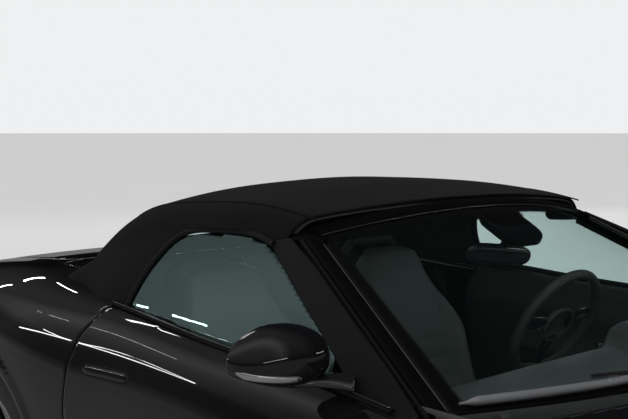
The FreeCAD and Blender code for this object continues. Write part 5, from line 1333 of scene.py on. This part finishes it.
    def make_console(self):
        """Console between the seats, with a lidded armrest and a selector lever."""
        s = np.linspace(1.80, 2.745, 60)
        height = spline([1.80, 1.95, 2.10, 2.30, 2.45, 2.60, 2.745],
                        [0.655, 0.64, 0.60, 0.57, 0.585, 0.605, 0.590], s)
        path = np.stack([0 * s, s, (height + 0.41) / 2], 1)
        tall = (height - 0.41) / 2
        scale = np.stack([1 - 0.06 * step(s, 2.2, 2.5), tall / 0.1], 1)
        console = sweep(path, oval(0.104, 0.1, 5, 40), scale=scale)
        add_piece("console_skin", console, "cabin_trim", "body", "dark_trim", ["centre_console"])
        rest = smooth_path([(0, 2.44, 0.594), (0, 2.50, 0.606), (0, 2.62, 0.616), (0, 2.73, 0.606)], 24)
        add_piece("armrest_pad", sweep(rest, oval(0.088, 0.020, 3.5, 32)), "seat_leather", "body",
                  "dark_trim")
        lever = smooth_path([(0, 2.17, 0.585), (0, 2.165, 0.64), (0, 2.155, 0.69), (0, 2.145, 0.715)], 20)
        swell = (1.3, 1.2, 0.9, 0.7, 0.65, 0.65, 0.65, 0.68, 0.72, 0.8, 0.95, 1.1, 1.2, 1.28, 1.3, 1.3, 1.25,
                 1.1, 0.8, 0.4)
        knob = sweep(lever, oval(0.016, 0.019, 2.4, 20), up=(0, 1, 0), scale=swell)
        add_piece("selector_lever", knob, "gloss_trim", "body", "dark_trim")
        plate = sweep([(0, 2.07, 0.612), (0, 2.17, 0.592), (0, 2.30, 0.577)], oval(0.075, 0.006, 5, 28))
        add_piece("selector_plate", plate, "gloss_trim", "body", "dark_trim")

    def make_mirror(self):
        """Inside mirror on its stalk, with the sensor pod behind the glass."""
        u = np.linspace(0, 1, 40)
        path = np.stack([-0.118 + 0.227 * u, 2.132 - 0.041 * u, 1.141 - 0.027 * u], 1)
        swell = np.sqrt(np.clip(1 - np.abs(2 * u - 1) ** 5, 0.02, 1))
        head = sweep(path, oval(0.030, 0.014, 3, 24), up=(0.2, 1, 0.2), scale=swell)
        add_piece("inside_mirror", head, "gloss_trim", "body", "dark_trim")
        stalk = smooth_path([(0, 2.10, 1.150), (0, 2.085, 1.175), (0, 2.075, 1.20), (0, 2.085, 1.222)], 16)
        stalk = sweep(stalk, oval(0.012, 0.012, 2, 14), up=(0, 1, 0))
        add_piece("mirror_stalk", stalk, "gloss_trim", "body", "dark_trim")
        pod = smooth_path([(0, 2.00, 1.166), (0, 2.05, 1.193), (0, 2.11, 1.224), (0, 2.15, 1.240)], 24)
        shape = np.sqrt(np.clip(1 - np.abs(np.linspace(-1, 1, 24)) ** 4, 0.03, 1))
        add_piece("sensor_pod", sweep(pod, oval(0.078, 0.019, 4.5, 32), scale=shape), "pillar", "body",
                  "dark_trim")


# Wheels: corner, x of its middle, station, tyre width
WHEELS = (("front_left", 0.7925, FRONT_AXLE, 0.255), ("front_right", -0.7925, FRONT_AXLE, 0.255),
          ("rear_left", 0.810, REAR_AXLE, 0.275), ("rear_right", -0.810, REAR_AXLE, 0.275))
TYRE_R, RIM_R = 0.34, 0.248


def turned(profile, count):
    """Profile of (across, radius) turned round the axle: a closed ring."""
    turn = np.linspace(0, 2 * np.pi, count, endpoint=False)[:, None]
    across, radius = (np.repeat(row[None], count, 0) for row in np.asarray(profile).T)
    points = np.stack([across, radius * np.cos(turn), radius * np.sin(turn)], 2).reshape(-1, 3)
    return filled_out((points, grid_faces(count, len(profile), True, True)))


def repeated(mesh, count):
    """A mesh and its copies, evenly turned round the axle."""
    points, faces = mesh
    copies = []
    for angle in np.arange(count) * 2 * np.pi / count:
        c, w = np.cos(angle), np.sin(angle)
        copies.append((points @ np.array([[1, 0, 0], [0, c, w], [0, -w, c]]), faces))
    return joined(*copies)


def tyre_mesh(half):
    """Tyre: rounded shoulders, a rib on the sidewall, four grooves round the tread and slanted cuts."""
    side = [(half + x, RIM_R + r) for x, r in (
        (-0.026, -0.001), (-0.012, 0.004), (-0.006, 0.018), (-0.0015, 0.034), (0, 0.050), (-0.002, 0.0555),
        (0, 0.061), (-0.004, 0.073), (-0.010, 0.081), (-0.016, 0.086), (-0.024, 0.0895))]
    outer = side + [(half * 0.62 + 0.014, TYRE_R - 0.0008)]
    for x in (half * 0.62, half * 0.22):
        outer += [(x + 0.0045, TYRE_R - 0.0002), (x + 0.0035, TYRE_R - 0.0072), (x - 0.0035, TYRE_R - 0.0072),
                  (x - 0.0045, TYRE_R)]
    points, faces = turned(outer + [(-x, r) for x, r in reversed(outer)], 240)
    radius = np.hypot(points[:, 1], points[:, 2])
    turn = np.arctan2(points[:, 2], points[:, 1])
    slant = np.sin(turn * 60 + np.abs(points[:, 0]) * 70)
    cut = (slant > 0.72) * step(radius, TYRE_R - 0.009, TYRE_R - 0.004) * (np.abs(points[:, 0]) > half * 0.28)
    points[:, 1:] *= (1 - 0.0045 * cut / radius)[:, None]
    return points, faces


def spoke_mesh(half):
    """Wheel spoke: superellipse sections from hub to rim that widen, lean out and hollow in the middle."""
    rows, columns = 28, 24
    t = np.linspace(0, 1, rows)[:, None]
    radius = 0.045 + (RIM_R - 0.055) * t
    face = 0.072 + (half - 0.102) * t ** 1.6 - 0.016 * np.sin(np.pi * t)
    wide, deep = oval(1, 1, 3.2, columns).T
    x = face + (0.017 - 0.004 * t) * deep - 0.006 * (1 - wide ** 2) * (deep > 0)
    y = (0.016 + 0.010 * t ** 2) * wide
    points = np.stack([x, y, np.repeat(radius, columns, 1)], 2).reshape(-1, 3)
    return filled_out((points, tube_faces(rows, columns)))


def rod(start, end, radius, count=16):
    """Round rod between two points."""
    start, end = np.array(start), np.array(end)
    return sweep([start, (start + end) / 2, end], oval(radius, radius, 2, count), up=(0, 0.31, 0.95))


# Turned parts of a wheel as (across from its middle, radius)
HUB = ((0.090, 0.0005), (0.094, 0.024), (0.092, 0.032), (0.084, 0.034), (0.082, 0.050), (0.088, 0.058),
       (0.086, 0.072), (0.070, 0.080), (0.020, 0.074), (0.020, 0.0005))
BRAKE_DISC = ((-0.036, 0.070), (-0.036, 0.174), (-0.028, 0.176), (-0.028, 0.150), (-0.022, 0.150),
              (-0.022, 0.176), (-0.014, 0.174), (-0.014, 0.078), (0.018, 0.074), (0.018, 0.068))


class CAR_OT_wheels(bpy.types.Operator):
    """Make the wheels: tyres with tread, spoked rims, hubs, bolts and brake discs"""

    bl_idname = "car.wheels"
    bl_label = "Wheels"

    def execute(self, context):
        spokes = context.scene.convertible_looks.spokes
        for corner, x, s, width in WHEELS:
            half = width / 2
            lip = half - 0.0095
            barrel = ((lip, RIM_R + 0.006), (lip + 0.002, RIM_R - 0.004), (lip - 0.010, RIM_R - 0.014),
                      (lip - 0.028, RIM_R - 0.018), (-lip + 0.02, RIM_R - 0.016), (-lip, RIM_R - 0.012),
                      (-lip, RIM_R + 0.006), (-lip + 0.012, RIM_R - 0.003), (0, RIM_R - 0.004),
                      (lip - 0.012, RIM_R - 0.003))
            bolt = rod((0.076, 0, 0.057), (0.0925, 0, 0.057), 0.0095, 6)
            for name, mesh, finish, slot, node, edge in (
                    ("tyre_skin", tyre_mesh(half), "tyre", "tyre", "tyre", 0),
                    ("rim_barrel", turned(barrel, 120), "alloy", "alloy", "wheel", 0.0015),
                    ("rim_spokes", repeated(spoke_mesh(half), spokes), "alloy", "alloy", None, 0),
                    ("hub", turned(HUB, 72), "alloy", "alloy", None, 0),
                    ("wheel_bolts", repeated(bolt, 5), "chrome", "alloy", None, 0),
                    ("brake_disc", turned(BRAKE_DISC, 90), "disc", "cast_metal", None, 0.0008)):
                placed = filled_out((mesh[0] * (np.sign(x), 1, 1) + (x, s, WHEEL_Z), mesh[1]))
                add_piece(f"{name}_{corner}", placed, finish, f"wheel_{corner}", slot,
                          [f"{node}_{corner}"] if node else (), edge=edge, smooth=name != "wheel_bolts")
        return {"FINISHED"}


class CAR_OT_lamps(bpy.types.Operator):
    """Make the headlamps, tail lamps, grille surrounds, tailpipe rings and blank plates"""

    bl_idname = "car.lamps"
    bl_label = "Lamps and trim"

    def execute(self, context):
        lens = trimmed_patch(nose_rays, degrees(8, 62, 0.6), degrees(2, 32, 0.6), lambda p: least(
            lamp_room(p) - 0.003, -in_plan(p, BONNET) - SHUT_GAP,
            outside_arch(p, FRONT_AXLE, FRONT_ARCH_R + 0.004)))
        red = trimmed_patch(tail_rays, degrees(30, 66, 0.6), degrees(10, 30, 0.6),
                            lambda p: in_tail_lamp(p) - 0.003)
        bowl = lens[0] + unit(np.array([0, 1.1, 0.5]) - lens[0]) * 0.045, lens[1]
        core = red[0] + unit(np.array([0, 3.4, 0.5]) - red[0]) * 0.030, red[1]
        for side, sign in SIDES:
            for name, mesh, finish, slot, node, wall in (
                    ("headlamp_lens", lens, "lamp_glass", "lamp_glass", "headlamps", 0.003),
                    ("headlamp_bowl", bowl, "gloss_trim", "lamp_glass", None, 0.004),
                    ("tail_lens", red, "red_glass", "red_lamp", "tail_lamps", 0.004),
                    ("tail_core", core, "gloss_trim", "red_lamp", None, 0.004)):
                add_piece(f"{name}_{side}", outward(on_side(mesh, sign)), finish, "body", slot,
                          [node] if node and sign > 0 else (), wall=wall)
            self.make_projectors(side, sign)
            self.make_tail_guides(side, sign)
            self.make_tailpipe(side, sign)
        self.make_rings()
        for name, station, z, way in (("plate_front", -0.0048, 0.417, -1.0),
                                      ("plate_rear", LENGTH - 0.002, 0.578, 1.0)):
            self.make_plinth(name, station, z, way)
        return {"FINISHED"}

    def make_tail_guides(self, side, sign):
        """Three light guides one over another behind a tail lamp's lens."""
        for i, z in enumerate((0.035, 0.070, 0.105)):
            x = np.linspace(0.572, 0.800, 24)
            origin = np.stack([0.7 * x, np.full(24, 3.4), np.full(24, LID_LOW + z)], 1)
            on_skin = to_skin(origin, unit(np.stack([0.3 * x, np.full(24, 0.9), np.zeros(24)], 1)))
            path = (on_skin - unit(on_skin - (0, 3.4, 0.6)) * 0.016) * (sign, 1, 1)
            guide = sweep(path, oval(0.006, 0.010, 3, 16))
            add_piece(f"tail_guide_{side}_{i}", guide, "red_lamp", "body", "red_lamp")

    def make_tailpipe(self, side, sign):
        """Tailpipe, closed at its end, and a dark disc set in that end: painted shade of a hollow bore."""
        path = np.stack([np.full(12, sign * TAILPIPE_X), np.linspace(4.30, 4.402, 12), np.full(12, 0.245)], 1)
        pipe = sweep(path, oval(0.0475, 0.0475, 2, 48))
        add_piece(f"tailpipe_{side}", pipe, "exhaust_steel", "body", "exhaust_steel")
        # Dark disc 1.5 mm proud of the pipe's closed end: painted shade of the hollow inside the pipe
        bore_shade_disc = sweep(path[6:] + (0, 0.0015, 0), oval(0.041, 0.041, 2, 48))
        add_piece(f"tailpipe_bore_shade_{side}", bore_shade_disc, "rubber", "body", "exhaust_steel")

    def make_rings(self):
        """Gloss surrounds of the grille's two openings and of the intake."""
        for name, outline, mirror in (("grille_ring_left", GRILLE, 1), ("grille_ring_right", GRILLE, -1),
                                      ("intake_ring", INTAKE, 1)):
            path = self.on_nose(outline * (mirror, 1))
            ring = sweep(path, oval(0.006, 0.008, 2.5, 12), up=(0, 1, 0.02), closed=True)
            add_piece(name, ring, "gloss_trim", "body", "dark_trim")

    def make_plinth(self, name, station, z, way):
        """Blank plinth for a number plate: flat in front, its back on the skin."""
        corners = rounded([(-0.255, -0.055), (-0.245, -0.055), (0.245, -0.055), (0.255, -0.055),
                           (0.255, 0.055), (0.245, 0.055), (-0.245, 0.055), (-0.255, 0.055)], 2) + (0, z)
        front, middle = (np.insert(corners, 1, at, axis=1) for at in (station, LENGTH / 2 + way * 1.3))
        back = to_skin(middle, np.repeat([[0.0, way, 0.0]], len(corners), 0)) - (0, 0.004 * way, 0)
        add_piece(name, slab(front, back), "plate", "body", "body_paint", smooth=False)

    def on_nose(self, outline):
        """Front-view outline (x, z) laid on the nose, 4 mm proud of the skin."""
        origin = np.stack([outline[:, 0], np.full(len(outline), 0.9), outline[:, 1]], 1)
        return to_skin(origin, np.repeat([[0.0, -1.0, 0.0]], len(outline), 0)) + (0, 0.004, 0)

    def make_projectors(self, side, sign):
        """Two round projector lamps and a light guide inside a headlamp."""
        way = unit(np.array([0.35 * sign, -1.0, 0.1]))
        for i, (x, s, z, radius) in enumerate(((0.690, 0.360, 0.665, 0.034), (0.775, 0.415, 0.668, 0.031))):
            centre = np.array([sign * x, s, z])
            barrel = rod(centre - way * 0.03, centre + way * 0.012, radius, 40)
            add_piece(f"projector_{side}_{i}", barrel, "chrome", "body", "lamp_glass")
            eye = rod(centre, centre + way * 0.016, radius * 0.78, 40)
            add_piece(f"projector_eye_{side}_{i}", eye, "lamp_eye", "body", "lamp_glass")
        path = smooth_path([(sign * 0.625, 0.325, 0.650), (sign * 0.720, 0.352, 0.648),
                            (sign * 0.830, 0.440, 0.655), (sign * 0.868, 0.560, 0.690)], 40)
        add_piece(f"light_guide_{side}", sweep(path, oval(0.005, 0.004, 2, 10)), "light_guide", "body",
                  "lamp_glass")


def mirror_head(u, turn, sign):
    """Door mirror's shell: u runs from its root to its tip and turn goes round it. Half height and depth
    follow superellipses along u, the front is full and the rear is nearly flat round the glass."""
    reach = np.clip(1 - np.abs(2 * u - 1) ** 2.7, 0, 1) ** (1 / 2.3)
    x = 0.823 + 0.190 * u
    s = 1.905 + 0.060 * u + 0.012 * u ** 2
    z = 1.004 - 0.004 * u - 0.010 * u ** 2
    high = reach * (0.074 - 0.024 * step(u, 0.50, 1.1))
    low = reach * (0.058 - 0.024 * step(u, 0.35, 1.0))
    fore, aft = reach * 0.074, reach * 0.040
    c, w = np.cos(turn), np.sin(turn)
    along = np.where(c > 0, aft * np.abs(c) ** 0.35, -fore * np.abs(c) ** 0.92)
    return np.stack([sign * x, s + along, z + np.where(w > 0, high, low) * np.sign(w) * np.abs(w) ** 0.85], 1)


class CAR_OT_mirrors(bpy.types.Operator):
    """Make both door mirrors: shell, bright strip, glass and arm"""

    bl_idname = "car.mirrors"
    bl_label = "Door mirrors"

    def execute(self, context):
        for side, sign in SIDES:
            for name, mesh, finish, wall in self.parts(sign):
                replaced = [f"door_mirror_{side}"] if name == "mirror_shell" else ()
                add_piece(f"{name}_{side}", mesh, finish, f"door_{side}", "gloss_trim", replaced, wall=wall)
        return {"FINISHED"}

    def parts(self, sign):
        """Name, mesh, finish and wall of each part of one mirror."""
        rings, count = 56, 64
        across = (1 - np.cos(np.linspace(0, np.pi, rings))) / 2
        points = mirror_head(*pairs(across, np.linspace(-np.pi, np.pi, count, endpoint=False)), sign)
        yield "mirror_shell", filled_out((points, tube_faces(rings, count))), "body_paint", 0

        low = np.linspace(0.46, 0.985, 40)
        path = mirror_head(low, 0.36 - np.pi + 0.10 * low, sign) - (0, 0.002, 0)
        taper = np.clip(np.minimum(low - 0.44, 1.0 - low) / 0.05, 0.25, 1)
        strip = sweep(path, oval(0.0045, 0.0075, 3.5, 12), up=(0, -0.25, 1), scale=taper)
        yield "mirror_strip", strip, "chrome", 0

        path = smooth_path([(sign * 0.795, 1.838, 0.951), (sign * 0.820, 1.858, 0.956),
                            (sign * 0.860, 1.893, 0.958), (sign * 0.905, 1.915, 0.957)], 24)
        arm = sweep(path, oval(0.036, 0.013, 2.4, 24), scale=np.linspace(1.15, 0.85, 24))
        yield "mirror_arm", arm, "gloss_trim", 0

        u, v = pairs(np.linspace(0.10, 0.90, 24), np.linspace(-0.8, 0.8, 16))
        points = mirror_head(u, 0 * u, sign) + (0, 0.0015, 0)
        points[:, 2] += v * 0.040 * (1 - 0.35 * u)
        yield "mirror_glass", outward((points, grid_faces(24, 16)), (sign * 0.92, 1.90, 1.0)), "mirror", 0.002


class CAR_OT_wipers(bpy.types.Operator):
    """Make both wipers, parked along the foot of the windscreen"""

    bl_idname = "car.wipers"
    bl_label = "Wipers"

    def execute(self, context):
        section = ((-0.004, -0.008), (0.004, -0.008), (0.007, 0.0), (0.009, 0.006), (0.003, 0.013),
                   (-0.003, 0.013), (-0.009, 0.006), (-0.007, 0.0))
        along = np.linspace(0, 1, 60)
        taper = np.clip(np.minimum(along, 1 - along) / 0.05, 0.3, 1)
        for name, tip, end, height, base, replaced in (
                ("wiper_driver", -0.06, 0.68, 0.052, (0.500, 1.497, 0.905), ["wipers"]),
                ("wiper_passenger", -0.975, -0.12, 0.020, (-0.060, 1.426, 0.905), ())):
            path = screen(np.linspace(tip, end, 60), height + 0.008 * along, 0.012)
            blade = sweep(path, section, up=SCREEN_LEAN, scale=taper)
            # The blade's grey finish is painted reflection
            add_piece(f"{name}_blade", blade, "wiper_painted_reflection", "body", "dark_trim", replaced)
            base = np.array(base)
            catch = screen(np.array([0.55 * tip + 0.45 * end]), np.array([height + 0.016]), 0.030)[0]
            path = smooth_path([base, base + (0, 0, 0.045), base * 0.75 + catch * 0.25 + (0, 0, 0.032),
                                base * 0.3 + catch * 0.7 + (0, 0, 0.012), catch], 40)
            arm = sweep(path, oval(0.009, 0.005, 2.6, 14), up=SCREEN_LEAN, scale=np.linspace(1.5, 0.7, 40))
            add_piece(f"{name}_arm", arm, "gloss_trim", "body", "dark_trim")
        return {"FINISHED"}


# Lamp tubes on the room's walls and ceiling, each drawing one line on the paint or the glass: name, both
# ends, width (m) and brightness (W/m2)
STRIP_LIGHTS = (
    ("tube_haunch_outer", (-1.96, 14.54, 5.46), (-0.29, 14.25, 6.18), 0.10, 110),
    ("tube_haunch_middle", (1.29, 14.07, 6.16), (3.37, 13.75, 5.53), 0.11, 130),
    ("tube_haunch_inner", (3.54, 13.47, 5.84), (3.14, 13.15, 6.49), 0.07, 90),
    ("tube_shoulder_rear", (-7.27, 13.41, 2.56), (-9.02, 11.87, 3.32), 0.09, 45),
    ("tube_shoulder_front", (-9.00, 11.85, 3.33), (-8.15, 12.15, 3.38), 0.07, 50),
    ("tube_door_top", (-0.99, 12.20, 8.64), (1.72, 11.70, 8.66), 0.12, 55),
    ("tube_pane_rear", (-5.95, 12.74, 5.65), (-6.11, 12.50, 5.82), 0.035, 55),
    ("tube_pane_front", (-6.34, 12.18, 6.02), (-6.67, 11.71, 6.30), 0.035, 55),
    ("tube_left_rear", (8.4, 12.2, 3.2), (14.0, 8.2, 3.2), 0.09, 100),
    ("tube_left_front", (12.6, -9.0, 3.2), (4.6, -14.0, 3.2), 0.09, 100),
    ("tube_right_front", (-4.6, -14.0, 3.2), (-12.6, -9.0, 3.2), 0.09, 100),
)


# What polished surfaces see of the room, by the height of the view: dark walls under a pale ceiling
ROOM_HEIGHTS = ((0.0, (0.12, 0.12, 0.12)), (0.05, (0.03, 0.03, 0.031)), (0.13, (0.035, 0.035, 0.036)),
                (0.19, (0.12, 0.12, 0.12)), (0.46, (0.20, 0.20, 0.20)), (1.0, (0.36, 0.36, 0.355)))
# How that light changes from the car's right (0) to its left (1): windows, ceiling, dark far end
ROOM_SIDES = ((0.18, (1.0, 1.0, 1.0)), (0.30, (2.3, 2.3, 2.3)), (0.42, (0.60, 0.60, 0.60)),
              (0.51, (0.52, 0.52, 0.52)), (0.70, (0.05, 0.055, 0.055)))


class CAR_OT_stage(bpy.types.Operator):
    """Make the floor, the soft studio light and the camera of the photograph"""

    bl_idname = "car.stage"
    bl_label = "Stage and camera"

    def execute(self, context):
        scene = context.scene
        scene.view_settings.view_transform = "Standard"
        self.make_floor(scene)
        self.make_room(scene)
        self.make_lights(scene)
        self.make_camera(scene)
        return {"FINISHED"}

    def make_floor(self, scene):
        """Pale round floor, which polished surfaces see darker, as they do the room."""
        finish = Finish("pale_floor", roughness=0.8, specular_ior_level=0.2)
        mirrored = finish.node("ShaderNodeLightPath").outputs["Is Glossy Ray"]
        pale = finish.blend(finish.noise(1.5, 2), (0.70, 0.70, 0.70), (0.74, 0.74, 0.74))
        finish.set(base_color=finish.colours(mirrored, pale, (0.24, 0.24, 0.24, 1)))
        turn = np.linspace(0, 2 * np.pi, 96, endpoint=False)
        circle = np.stack([np.cos(turn), np.sin(turn), 0 * turn], 1)
        rings = np.concatenate([radius * circle for radius in (0.01, 8, 400)]) - (0, 0, 0.001)
        data = bpy.data.meshes.new("floor")
        data.from_pydata(rings.tolist(), [], [f[::-1] for f in grid_faces(3, 96, close_columns=True)])
        data.materials.append(finish.material)
        floor = bpy.data.objects.new("floor", data)
        scene.collection.objects.link(floor)
        floor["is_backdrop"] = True

    def make_room(self, scene):
        """World: white light on everything, a pale backdrop for the camera, and for polished surfaces a dark
        room whose light changes with the height and the side that they look to."""
        world = bpy.data.worlds.new("studio")
        scene.world = world
        room = Nodes(world)
        ray = room.node("ShaderNodeLightPath").outputs
        view = room.node("ShaderNodeSeparateXYZ",
                         inputs={0: room.node("ShaderNodeTexCoord").outputs["Generated"]})
        sideways = Value(room, view.outputs["X"]) * 0.5 + 0.5
        heights = room.node("ShaderNodeValToRGB", {"stops": ROOM_HEIGHTS}, {0: view.outputs["Z"]}).outputs[0]
        sides = room.node("ShaderNodeValToRGB", {"stops": ROOM_SIDES}, {0: sideways}).outputs[0]
        dim = room.node("ShaderNodeBackground", inputs={
            "Color": room.colours(1.0, heights, sides, blend_type="MULTIPLY")})
        lit = room.node("ShaderNodeBackground", inputs={"Color": (1, 1, 1, 1), "Strength": 0.9})
        backdrop = room.node("ShaderNodeBackground", inputs={"Color": (0.86, 0.87, 0.88, 1)})
        seen = Value(room, ray["Is Camera Ray"]).either(Value(room, ray["Is Transmission Ray"]))
        light = room.shaders(seen, room.shaders(ray["Is Glossy Ray"], lit, dim), backdrop)
        room.tree.links.new(light.outputs[0], room.tree.nodes["World Output"].inputs[0])

    def make_lights(self, scene):
        """Area lamps as long narrow tubes, all facing the car."""
        for name, start, end, width, brightness in STRIP_LIGHTS:
            start, end = np.array(start), np.array(end)
            length = np.linalg.norm(end - start)
            light = bpy.data.lights.new(name, "AREA")
            light.shape, light.size, light.size_y = "RECTANGLE", length, width
            light.energy = brightness * length * width
            lamp = bpy.data.objects.new(name, light)
            lamp.matrix_world = facing((start + end) / 2, end - start)
            scene.collection.objects.link(lamp)

    def make_camera(self, scene):
        """Camera of the photograph, fitted to the car."""
        camera = bpy.data.objects.new("camera", bpy.data.cameras.new("camera"))
        camera.data.lens, camera.data.sensor_width = scene.convertible_looks.lens, 36
        camera.location = (-2.0873, 0.3849 - LENGTH / 2, 1.4762)
        yaw, pitch = np.radians(50.72), np.radians(4.79)
        way = Vector((np.cos(yaw) * np.cos(pitch), np.sin(yaw) * np.cos(pitch), -np.sin(pitch)))
        camera.rotation_euler = way.to_track_quat("-Z", "Y").to_euler()
        scene.collection.objects.link(camera)
        scene.camera = camera


def facing(place, along):
    """Matrix of a lamp at a place that shines on the car, with its long side along a direction."""
    side = unit(np.asarray(along, float))
    back = np.array(place) - (0, 0, 0.8)
    back = unit(back - side * (back @ side))
    matrix = np.eye(4)
    matrix[:3, :4] = np.stack([side, np.cross(back, side), back, place], 1)
    return Matrix(matrix.tolist())


class VIEW3D_PT_convertible(bpy.types.Panel):
    """Colours and pieces of the convertible car"""

    bl_label = "Convertible Car"
    bl_space_type = "VIEW_3D"
    bl_region_type = "UI"
    bl_category = "Convertible"

    def draw(self, context):
        for name in ConvertibleLooks.__annotations__:
            self.layout.prop(context.scene.convertible_looks, name)
        for operator in OPERATORS:
            self.layout.operator(operator.bl_idname)


OPERATORS = (CAR_OT_frame_finishes, CAR_OT_body_panels, CAR_OT_roof, CAR_OT_glazing, CAR_OT_doors,
             CAR_OT_mirrors, CAR_OT_wipers, CAR_OT_cabin, CAR_OT_wheels, CAR_OT_lamps, CAR_OT_stage)
CLASSES = (ConvertibleLooks, *OPERATORS, VIEW3D_PT_convertible)


def register():
    for cls in CLASSES:
        bpy.utils.register_class(cls)
    bpy.types.Scene.convertible_looks = PointerProperty(type=ConvertibleLooks)


def unregister():
    del bpy.types.Scene.convertible_looks
    for cls in reversed(CLASSES):
        bpy.utils.unregister_class(cls)


def make_car():
    """Registers the add-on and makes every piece."""
    register()
    for operator in OPERATORS:
        group, name = operator.bl_idname.split(".")
        getattr(getattr(bpy.ops, group), name)()
    bpy.context.view_layer.update()
    boxes = {"cad": CAD_BOX, "visual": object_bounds()}
    {key: [[round(float(v), 5) for v in corner] for corner in box] for key, box in boxes.items()}


if __name__ == "__main__":
    make_car()
